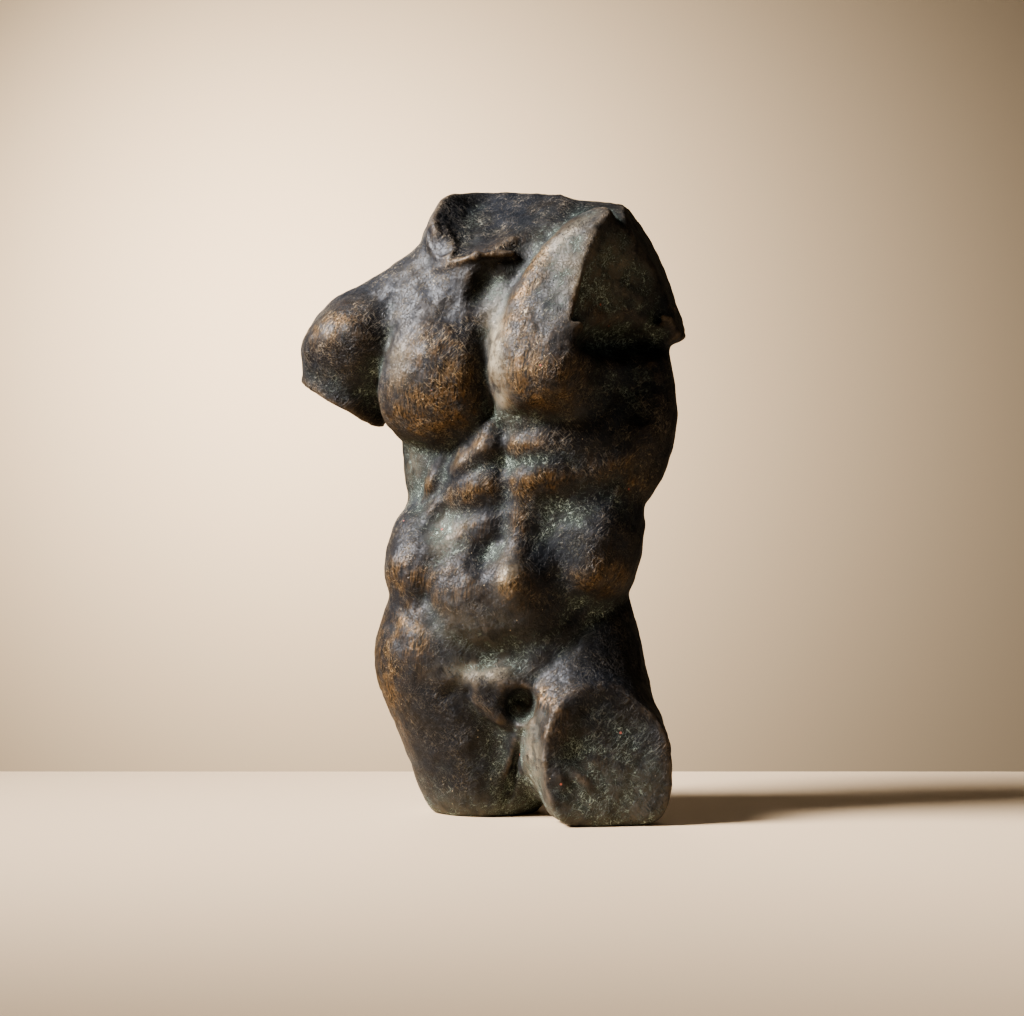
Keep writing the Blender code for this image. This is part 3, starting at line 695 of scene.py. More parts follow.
@dataclass
class Skin:
    """Meshes a body of clay: one vertex in each cell of a grid that the surface crosses."""

    low: Point = (-0.24, -0.16, -0.03)
    high: Point = (0.24, 0.16, 0.66)
    step: float = 0.0022
    coarse: int = 4
    near: float = 2.2  # how near the surface the fine grid is worked out, in coarse cells
    rounds: int = 6

    def values(self, clay: Torso) -> np.ndarray:
        """The clay's distances at the grid's points, worked out only near its surface.

        Args:
            clay: the body to mesh.

        Returns:
            A three-dimensional array of distances. Away from the surface only their sign is right.
        """
        size = [int(np.ceil((self.high[i] - self.low[i]) / (self.step * self.coarse))) for i in range(3)]
        wide = self.step * self.coarse
        axes = [self.low[i] + wide * np.arange(size[i] + 1) for i in range(3)]
        rough = clay.distance(np.meshgrid(*axes, indexing="ij"))
        near = np.abs(rough) < self.near * wide
        cells = np.zeros(size, dtype=bool)
        for i in (0, 1):
            for j in (0, 1):
                for k in (0, 1):
                    cells |= near[i : i + size[0], j : j + size[1], k : k + size[2]]
        fine = [n * self.coarse + 1 for n in size]
        wanted = np.zeros(fine, dtype=bool)
        n = self.coarse
        reach = [length * n for length in size]
        for i in range(n + 1):
            for j in range(n + 1):
                for k in range(n + 1):
                    wanted[i : i + reach[0] : n, j : j + reach[1] : n, k : k + reach[2] : n] |= cells
        places = np.argwhere(wanted) * self.step + np.array(self.low)
        value = np.sign(rough[:-1, :-1, :-1])
        for axis in range(3):
            value = np.repeat(value, n, axis=axis)
        value = np.pad(value, ((0, 1),) * 3, mode="edge")
        value[wanted] = clay.distance(list(places.T))
        return value

    def settled(self, value: np.ndarray) -> np.ndarray:
        """Fills the checkerboard faces of the grid, where two sheets of the surface would touch.

        Args:
            value: the distances at the grid's points, which it changes.

        Returns:
            The same distances.
        """
        for _ in range(self.rounds):
            for axis in range(3):
                u, w = (axis + 1) % 3, (axis + 2) % 3
                corner = {}
                for i in (0, 1):
                    for j in (0, 1):
                        part = [slice(None)] * 3
                        part[u], part[w] = slice(i, i - 1 or None), slice(j, j - 1 or None)
                        corner[i, j] = value[tuple(part)]
                inside = {key: v < 0 for key, v in corner.items()}
                even = inside[0, 0] & inside[1, 1] & ~inside[0, 1] & ~inside[1, 0]
                odd = inside[0, 1] & inside[1, 0] & ~inside[0, 0] & ~inside[1, 1]
                for key, v in corner.items():
                    v[(even | odd) & ~inside[key]] = -0.1 * self.step
        return value

    def corners(self, value: np.ndarray, cells: np.ndarray) -> np.ndarray:
        """Places the surface in each cell, at the mean of where it crosses the cell's edges.

        Args:
            value: the distances at the grid's points.
            cells: the crossed cells, as rows of three cell numbers.

        Returns:
            One place for each cell.
        """
        total = np.zeros((len(cells), 3))
        crossings = np.zeros(len(cells))
        for axis in range(3):
            for a in (0, 1):
                for b in (0, 1):
                    start = np.zeros(3, dtype=np.int64)
                    start[(axis + 1) % 3], start[(axis + 2) % 3] = a, b
                    end = start.copy()
                    end[axis] = 1
                    v0 = value[tuple((cells + start).T)]
                    v1 = value[tuple((cells + end).T)]
                    crossed = (v0 < 0) != (v1 < 0)
                    place = np.tile(start.astype(float), (len(cells), 1))
                    place[:, axis] = np.where(crossed, v0 / np.where(crossed, v0 - v1, 1), 0)
                    total += place * crossed[:, None]
                    crossings += crossed
        return (cells + total / crossings[:, None]) * self.step + np.array(self.low)

    def mesh(self, clay: Torso) -> tuple[np.ndarray, np.ndarray]:
        """Meshes the clay.

        Args:
            clay: the body to mesh.

        Returns:
            The vertices, and the quads as rows of four vertex numbers.
        """
        value = self.settled(self.values(clay))
        inside = value < 0
        size = np.array(inside.shape) - 1
        index = -np.ones(size, dtype=np.int64)
        count = sum(
            inside[i : i + size[0], j : j + size[1], k : k + size[2]].astype(np.int8)
            for i in (0, 1) for j in (0, 1) for k in (0, 1)
        )
        cells = np.argwhere((count > 0) & (count < 8))
        index[tuple(cells.T)] = np.arange(len(cells))
        quads = []
        for axis in range(3):
            u, w = (axis + 1) % 3, (axis + 2) % 3
            here, there = [slice(None)] * 3, [slice(None)] * 3
            here[axis], there[axis] = slice(0, -1), slice(1, None)
            a, b = inside[tuple(here)], inside[tuple(there)]
            for enters, flip in ((~a & b, False), (a & ~b, True)):
                edges = np.argwhere(enters)
                ring = []
                for du, dw in ((-1, -1), (0, -1), (0, 0), (-1, 0)):
                    cell = edges.copy()
                    cell[:, u] += du
                    cell[:, w] += dw
                    ring.append(index[tuple(cell.T)])
                quad = np.stack(ring, axis=1)
                quads.append(quad if flip else quad[:, ::-1])
        return self.corners(value, cells), np.concatenate(quads)


class Mask(Enum):
    """The values that the skin carries for its finish, each from 0 to 1, by their names on the mesh."""

    COPPER = "copper"
    # grey-green in hollows, and painted shade under the right arm
    VERDIGRIS = "verdigris"
    # pale dust, and painted highlights on the left chest, by the navel and above the loins
    DUST = "dust"
    WORN = "worn"


@dataclass
class Surface:
    """A mesh's surface, read for its high and low places."""

    mesh: bpy.types.Mesh

    def __post_init__(self) -> None:
        """Reads the mesh's places, normals and edges."""
        count = len(self.mesh.vertices)
        self.places = np.empty(count * 3)
        self.mesh.vertices.foreach_get("co", self.places)
        self.places = self.places.reshape(-1, 3)
        self.normals = np.empty(count * 3)
        self.mesh.vertex_normals.foreach_get("vector", self.normals)
        self.normals = self.normals.reshape(-1, 3)
        edges = np.empty(len(self.mesh.edges) * 2, dtype=np.int64)
        self.mesh.edges.foreach_get("vertices", edges)
        edges = edges.reshape(-1, 2)
        self.near = np.concatenate([edges[:, 0], edges[:, 1]])
        self.far = np.concatenate([edges[:, 1], edges[:, 0]])
        self.degree = np.bincount(self.near, minlength=count)

    def spread(self, values: np.ndarray, rounds: int) -> np.ndarray:
        """Averages each vertex's value with its neighbours'.

        Args:
            values: one value for each vertex.
            rounds: how many times over it is done.

        Returns:
            The averaged values.
        """
        for _ in range(rounds):
            total = np.bincount(self.near, weights=values[self.far], minlength=len(values))
            values = (values + total) / (1 + self.degree)
        return values

    def relief(self, rounds: int) -> np.ndarray:
        """How far each vertex stands out of the surface smoothed over some rounds, in metres."""
        smooth = np.stack([self.spread(self.places[:, i], rounds) for i in range(3)], axis=1)
        return ((self.places - smooth) * self.normals).sum(axis=1)

    def write(self, mask: Mask, values: np.ndarray) -> None:
        """Stores one value for each vertex on the mesh, for the finish to read."""
        stored = self.mesh.attributes.new(mask.value, "FLOAT", "POINT")
        stored.data.foreach_set("value", values.astype(np.float32))


# ------------------------------------------------------------------------------------------------
# Finishes

Tree, Socket = bpy.types.NodeTree, bpy.types.NodeSocket

MATH, MIX, RANGE, NOISE = "ShaderNodeMath", "ShaderNodeMix", "ShaderNodeMapRange", "ShaderNodeTexNoise"

# Settings that many nodes share. The four sums are kept between 0 and 1.
TIMES = {"operation": "MULTIPLY", "use_clamp": True}
PLUS = {"operation": "ADD", "use_clamp": True}
LESS = {"operation": "SUBTRACT", "use_clamp": True}
BELOW = {"operation": "LESS_THAN", "use_clamp": True}
SMOOTH = {"interpolation_type": "SMOOTHSTEP"}
COLOURS = {"data_type": "RGBA"}
SHARE, UNDER, OVER, BLENDED = 0, 6, 7, 2  # a colour mix node's inputs, and its output


def linear(colour: str) -> tuple[float, float, float, float]:
    """An sRGB hex colour as linear RGBA."""
    parts = [int(colour[i : i + 2], 16) / 255 for i in (1, 3, 5)]
    return (*(v / 12.92 if v <= 0.04045 else ((v + 0.055) / 1.055) ** 2.4 for v in parts), 1.0)


def per_metre(millimetres: float) -> float:
    """The scale of a pattern, in repeats to the metre, from its real size in millimetres."""
    return 1000 / millimetres


def add(
    tree: Tree,
    kind: str,
    settings: dict | None = None,
    inputs: dict | None = None,
    output: str | int = 0,
) -> Socket:
    """Adds a node with its settings and links.

    Args:
        tree: the node tree of a material or of the studio's surroundings.
        kind: the node's type name.
        settings: the node's properties, by name.
        inputs: the node's inputs, by name or number: a socket is linked, any other value is set.
        output: the output that is wanted, by name or number.

    Returns:
        The socket of that output.
    """
    node = tree.nodes.new(kind)
    for key, value in (settings or {}).items():
        setattr(node, key, value)
    for key, value in (inputs or {}).items():
        if isinstance(value, Socket):
            tree.links.new(value, node.inputs[key])
        else:
            node.inputs[key].default_value = value
    return node.outputs[output]


@dataclass(frozen=True)
class Blotches:
    """Soft-edged patches: their size in millimetres, where they turn over, and the least they leave."""

    size: float
    low: float
    high: float
    detail: float = 3.0
    least: float = 0.0

    ROUGHNESS = 0.6

    def lay(self, tree: Tree, places: Socket) -> Socket:
        """Lays the patches.

        Args:
            tree: the material's node tree.
            places: the places, drawn out where the patches are long.

        Returns:
            A socket that is 1 within a patch and least between patches.
        """
        noise = add(tree, NOISE, {}, {
            "Vector": places, "Scale": per_metre(self.size), "Detail": self.detail,
            "Roughness": self.ROUGHNESS,
        }, "Fac")
        patches = add(tree, RANGE, SMOOTH, {"Value": noise, "From Min": self.low, "From Max": self.high})
        return add(tree, MATH, PLUS, {0: patches, 1: self.least})


@dataclass(frozen=True)
class Hairs:
    """Hair-fine lines: their spacing in millimetres, how thin they are by it, and how they wander."""

    spacing: float
    thin: float
    detail: float = 1.5
    wander: float = 0.25

    ROUGHNESS = 0.55
    CORE = 0.15  # the part of a line's width that is full strength

    def lay(self, tree: Tree, places: Socket) -> Socket:
        """Lays the lines where a slow noise passes its middle value.

        Args:
            tree: the material's node tree.
            places: the places, drawn out where the lines run one way.

        Returns:
            A socket that is 1 on a line and 0 between lines.
        """
        noise = add(tree, NOISE, {}, {
            "Vector": places, "Scale": per_metre(self.spacing), "Detail": self.detail,
            "Roughness": self.ROUGHNESS, "Distortion": self.wander,
        }, "Fac")
        away = add(tree, MATH, {"operation": "SUBTRACT"}, {0: noise, 1: 0.5})
        gap = add(tree, MATH, {"operation": "ABSOLUTE"}, {0: away})
        return add(tree, RANGE, SMOOTH, {
            "Value": gap, "From Min": self.thin, "From Max": self.thin * self.CORE})


@dataclass(frozen=True)
class Scratches:
    """Scratches that run one way, in patches: how they lean sideways and turn, in degrees."""

    hairs: Hairs
    patches: Blotches
    lean: float
    yaw: float

    LENGTH = 6.0  # how far they are drawn out along their run

    def lay(self, tree: Tree, places: Socket) -> Socket:
        """Lays the scratches.

        Args:
            tree: the material's node tree.
            places: the places.

        Returns:
            A socket that is 1 on a scratch and 0 elsewhere.
        """
        drawn_out = add(tree, "ShaderNodeMapping", {"vector_type": "TEXTURE"}, {
            "Vector": places, "Rotation": (0, math.radians(self.lean), math.radians(self.yaw)),
            "Scale": (1, 1, self.LENGTH),
        })
        return add(tree, MATH, TIMES, {
            0: self.hairs.lay(tree, drawn_out), 1: self.patches.lay(tree, places)})


@dataclass(frozen=True)
class Specks:
    """Scattered round specks: their spacing in millimetres, their radius by it, and the share kept."""

    spacing: float
    radius: float
    share: float

    def lay(self, tree: Tree, places: Socket) -> Socket:
        """Lays the specks.

        Args:
            tree: the material's node tree.
            places: the places.

        Returns:
            A socket that is 1 on a speck and 0 elsewhere.
        """
        distance = add(tree, "ShaderNodeTexVoronoi", {}, {
            "Vector": places, "Scale": per_metre(self.spacing)}, "Distance")
        near = add(tree, MATH, BELOW, {0: distance, 1: self.radius})
        number = add(tree, "ShaderNodeSeparateColor", {}, {0: distance.node.outputs["Color"]})
        kept = add(tree, MATH, BELOW, {0: number, 1: self.share})
        return add(tree, MATH, TIMES, {0: near, 1: kept})


@dataclass(frozen=True)
class Drawn:
    """What several coats of the patina share, all of it sockets in one node tree."""

    tree: Tree
    places: Socket
    masks: dict[Mask, Socket]
    crossing: Socket  # fine scratches that cross
    web: Socket  # wandering hairs
    rub: Socket  # how far the copper is rubbed through
    cover: Socket  # how far the verdigris covers, and the painted shade under the right arm


@dataclass(frozen=True)
class PatinatedTerracotta:
    """Fired clay under a bronze-coloured patina, brushed on in thin coats and waxed.

    The eye sees a nearly black ground, copper-brown rubbed through on what stands out and brushed
    downwards, grey-green washes in what is hollow with a web of paler hairs in them, fine crossing
    scratches, small pits, and a few pink specks where the clay shows. Pale dust lies in a few places,
    where it also serves as a painted highlight, and the grey-green under the right arm is painted shade.
    The wax gives broad soft highlights.

    The hairs and scratches are a quarter millimetre wide on such a finish, which is too fine to show,
    so they are drawn at about twice that.
    """

    ground: str = "#1d1b1a"
    ground_cool: str = "#181c24"
    ground_warm: str = "#211c18"
    scratch: str = "#968b79"
    copper_deep: str = "#292319"
    copper: str = "#7b6347"
    copper_bright: str = "#c9ae86"
    worn: str = "#8f7c64"
    # grey-green, which also paints shade under the right arm
    verdigris: str = "#434e45"
    verdigris_pale: str = "#bac7ba"
    # pale dust, which also paints highlights on the left chest, by the navel and above the loins
    dust: str = "#aca18b"
    clay: str = "#c07466"
    fleck: str = "#b3a48c"

    # patches of each coat, as a sponge or a broad brush leaves them
    cool_patches: Blotches = Blotches(62.5, 0.34, 0.56)
    warm_patches: Blotches = Blotches(37.04, 0.52, 0.70)
    copper_patches: Blotches = Blotches(18.18, 0.36, 0.66, least=0.2)
    verdigris_and_shade_patches: Blotches = Blotches(16.67, 0.36, 0.62, least=0.2)
    dust_and_highlight_patches: Blotches = Blotches(11.11, 0.30, 0.65, least=0.3)
    worn_patches: Blotches = Blotches(7.692, 0.30, 0.60)
    scratched_patches: Blotches = Blotches(22.22, 0.30, 0.62)

    # the marks of a stiff brush's hairs, 2 mm apart, which lean a little and are drawn out downwards
    bristles: Blotches = Blotches(1.923, 0.30, 0.70, detail=1.0)
    bristle_lean: float = 6.0
    bristle_length: float = 9.0

    # fine scratches in two directions, 3 mm apart, and a web of hairs, 5 and 9 mm apart
    one_way: Scratches = Scratches(Hairs(3.125, 0.024), Blotches(33.33, 0.42, 0.56, 1.0), 46, 12)
    other_way: Scratches = Scratches(Hairs(3.125, 0.024), Blotches(27.03, 0.42, 0.56, 1.0), -42, -8)
    open_web: Hairs = Hairs(8.696, 0.013, detail=1.0, wander=0.8)
    close_web: Hairs = Hairs(5.263, 0.020, detail=1.0, wander=0.8)
    flecks: Specks = Specks(6.25, 0.10, 0.05)
    clay_specks: Specks = Specks(9.524, 0.14, 0.015)

    # how strongly each shows, from 0 to 1
    web_on_ground: float = 0.6
    scratch_on_copper: float = 0.6
    scratch_on_verdigris: float = 0.5
    lines_through_dust_and_highlight: float = 0.6
    dust_and_highlight_cover: float = 0.85
    verdigris_and_shade_cover: float = 0.65
    copper_metal: float = 0.6

    # the ground is scratched less low down, where it isn't handled: between two heights, in metres
    handled_from: float = 0.14
    handled_above: float = 0.40
    least_handled: float = 0.35
    most_handled: float = 0.80

    ior: float = 1.5
    waxed_roughness: float = 0.56
    verdigris_roughness: float = 0.80
    wax: float = 0.20
    wax_roughness: float = 0.46

    # relief: sizes in millimetres, depths in metres
    dab_size: float = 11.76
    dab_depth: float = 0.003
    dab_strength: float = 0.5
    grain_size: float = 2.381
    pit_spacing: float = 6.667
    pit_edges: tuple[float, float] = (0.08, 0.24)  # a pit's floor and rim, by the pits' spacing
    fine_depth: float = 0.0011
    fine_strength: float = 0.8
    grain_height: float = 0.18
    line_height: float = 0.7
    web_height: float = 0.8

    def laid_over(self, tree: Tree, ground: str, coats: list[tuple[Socket, str | Socket]]) -> Socket:
        """Lays coats of colour over a ground, each by its share.

        Args:
            tree: the material's node tree.
            ground: the ground's colour, as sRGB hex.
            coats: each coat's share, and its colour as sRGB hex or a socket, from the lowest up.

        Returns:
            The socket of the finished colour.
        """
        colour = linear(ground)
        for share, paint in coats:
            over = linear(paint) if isinstance(paint, str) else paint
            colour = add(tree, MIX, COLOURS, {SHARE: share, UNDER: colour, OVER: over}, BLENDED)
        return colour

    def drawn(self, tree: Tree) -> Drawn:
        """Draws the lines and covers that several coats share.

        Args:
            tree: the material's node tree.

        Returns:
            Their sockets.
        """
        places = add(tree, "ShaderNodeTexCoord", output="Object")
        masks = {
            mask: add(tree, "ShaderNodeAttribute", {"attribute_name": mask.value}, output="Fac")
            for mask in Mask
        }
        pairs = {
            "crossing": (PLUS, self.one_way.lay(tree, places), self.other_way.lay(tree, places)),
            "web": (PLUS, self.open_web.lay(tree, places), self.close_web.lay(tree, places)),
            "rub": (TIMES, masks[Mask.COPPER], self.copper_patches.lay(tree, places)),
            "cover": (TIMES, masks[Mask.VERDIGRIS], self.verdigris_and_shade_patches.lay(tree, places)),
        }
        joined = {name: add(tree, MATH, how, {0: a, 1: b}) for name, (how, a, b) in pairs.items()}
        return Drawn(tree, places, masks, **joined)

    def scratched(self, on: Drawn) -> Socket:
        """How far the bare ground is scratched.

        Args:
            on: what the coats share.

        Returns:
            The share that the scratches' colour takes.
        """
        web = add(on.tree, MATH, TIMES, {0: on.web, 1: self.web_on_ground})
        lines = add(on.tree, MATH, PLUS, {0: on.crossing, 1: web})
        patches = self.scratched_patches.lay(on.tree, on.places)
        lines = add(on.tree, MATH, TIMES, {0: lines, 1: patches})
        open_lines = add(on.tree, MATH, LESS, {0: lines, 1: on.cover})
        height = add(on.tree, "ShaderNodeSeparateXYZ", {}, {0: on.places}, "Z")
        handled = add(on.tree, RANGE, SMOOTH, {
            "Value": height, "From Min": self.handled_from, "From Max": self.handled_above,
            "To Min": self.least_handled, "To Max": self.most_handled,
        })
        return add(on.tree, MATH, TIMES, {0: open_lines, 1: handled})

    def brushed_copper(self, on: Drawn) -> Socket:
        """The copper's colour, brushed downwards and scratched bright.

        Args:
            on: what the coats share.

        Returns:
            The socket of the colour.
        """
        drawn_out = add(on.tree, "ShaderNodeMapping", {"vector_type": "TEXTURE"}, {
            "Vector": on.places, "Rotation": (0, math.radians(self.bristle_lean), 0),
            "Scale": (1, 1, self.bristle_length),
        })
        bright = add(on.tree, MATH, TIMES, {0: on.crossing, 1: self.scratch_on_copper})
        return self.laid_over(on.tree, self.copper_deep, [
            (self.bristles.lay(on.tree, drawn_out), self.copper),
            (bright, self.copper_bright),
        ])

    def settled_dust_and_highlight(self, on: Drawn) -> Socket:
        """How far pale dust and painted highlights lie, with the lines wiped through them.

        Args:
            on: what the coats share.

        Returns:
            The share that the colour of the dust and painted highlights takes.
        """
        patches = self.dust_and_highlight_patches.lay(on.tree, on.places)
        settled = add(on.tree, MATH, TIMES, {0: on.masks[Mask.DUST], 1: patches})
        lines = add(on.tree, MATH, PLUS, {0: on.crossing, 1: on.web})
        wiped = add(on.tree, MATH, TIMES, {0: lines, 1: self.lines_through_dust_and_highlight})
        settled = add(on.tree, MATH, LESS, {0: settled, 1: wiped})
        return add(on.tree, MATH, TIMES, {0: settled, 1: self.dust_and_highlight_cover})

    def pale_hairs(self, on: Drawn) -> Socket:
        """The paler hairs within the verdigris.

        Args:
            on: what the coats share.

        Returns:
            The share that their colour takes.
        """
        scratches = add(on.tree, MATH, TIMES, {0: on.crossing, 1: self.scratch_on_verdigris})
        lines = add(on.tree, MATH, PLUS, {0: on.web, 1: scratches})
        return add(on.tree, MATH, TIMES, {0: on.cover, 1: lines})

    def colour(self, on: Drawn) -> Socket:
        """The whole patina's colour, coat over coat.

        Args:
            on: what the coats share.

        Returns:
            The socket of the colour.
        """
        bare = self.worn_patches.lay(on.tree, on.places)
        return self.laid_over(on.tree, self.ground, [
            (self.cool_patches.lay(on.tree, on.places), self.ground_cool),
            (self.warm_patches.lay(on.tree, on.places), self.ground_warm),
            (self.scratched(on), self.scratch),
            (on.rub, self.brushed_copper(on)),
            (add(on.tree, MATH, TIMES, {0: on.masks[Mask.WORN], 1: bare}), self.worn),
            # dust, with painted highlights in places, then grey-green, with painted shade under the
            # right arm
            (self.settled_dust_and_highlight(on), self.dust),
            (add(on.tree, MATH, TIMES, {0: on.cover, 1: self.verdigris_and_shade_cover}), self.verdigris),
            (self.pale_hairs(on), self.verdigris_pale),
            (self.flecks.lay(on.tree, on.places), self.fleck),
            (self.clay_specks.lay(on.tree, on.places), self.clay),
        ])

    def relief(self, on: Drawn) -> Socket:
        """The surface's relief: soft dabs, and on them grain, lines and pits.

        Args:
            on: what the coats share.

        Returns:
            The socket of the normal.
        """
        dabs = add(on.tree, NOISE, {}, {
            "Vector": on.places, "Scale": per_metre(self.dab_size), "Detail": 2.0}, "Fac")
        dabbed = add(on.tree, "ShaderNodeBump", {}, {
            "Height": dabs, "Strength": self.dab_strength, "Distance": self.dab_depth})
        grain = add(on.tree, NOISE, {}, {
            "Vector": on.places, "Scale": per_metre(self.grain_size), "Detail": 2.0}, "Fac")
        grain = add(on.tree, MATH, TIMES, {0: grain, 1: self.grain_height})
        web = add(on.tree, MATH, TIMES, {0: on.web, 1: self.web_height})
        lines = add(on.tree, MATH, PLUS, {0: on.crossing, 1: web})
        lines = add(on.tree, MATH, TIMES, {0: lines, 1: self.line_height})
        height = add(on.tree, MATH, PLUS, {0: grain, 1: lines})
        distance = add(on.tree, "ShaderNodeTexVoronoi", {}, {
            "Vector": on.places, "Scale": per_metre(self.pit_spacing)}, "Distance")
        floor, rim = self.pit_edges
        pits = add(on.tree, RANGE, SMOOTH, {"Value": distance, "From Min": floor, "From Max": rim})
        height = add(on.tree, MATH, TIMES, {0: height, 1: pits})
        return add(on.tree, "ShaderNodeBump", {}, {
            "Height": height, "Normal": dabbed,
            "Strength": self.fine_strength, "Distance": self.fine_depth,
        })

    def make(self) -> bpy.types.Material:
        """Builds the material.

        Returns:
            The material.
        """
        material = bpy.data.materials.new("patinated_terracotta")
        material.use_nodes = True
        tree = material.node_tree
        shader = tree.nodes["Principled BSDF"]
        on = self.drawn(tree)
        relief = self.relief(on)
        fed = {
            "Base Color": self.colour(on),
            "Metallic": add(tree, MATH, TIMES, {0: on.rub, 1: self.copper_metal}),
            "Roughness": add(tree, RANGE, {}, {
                "Value": on.cover, "To Min": self.waxed_roughness, "To Max": self.verdigris_roughness}),
            "Normal": relief,
            "Coat Normal": relief,
        }
        for name, socket in fed.items():
            tree.links.new(socket, shader.inputs[name])
        shader.inputs["IOR"].default_value = self.ior
        shader.inputs["Coat Weight"].default_value = self.wax
        shader.inputs["Coat Roughness"].default_value = self.wax_roughness
        return material


@dataclass(frozen=True)
class MattePaint:
    """Flat emulsion rolled onto a studio wall or table: one even, pale colour, with no gloss."""

    name: str
    colour: str
    roughness: float = 0.9

    def make(self) -> bpy.types.Material:
        """Builds the material.

        Returns:
            The material.
        """
        material = bpy.data.materials.new(self.name)
        material.use_nodes = True
        shader = material.node_tree.nodes["Principled BSDF"]
        shader.inputs["Base Color"].default_value = linear(self.colour)
        shader.inputs["Roughness"].default_value = self.roughness
        return material


# ------------------------------------------------------------------------------------------------
# The sculpture


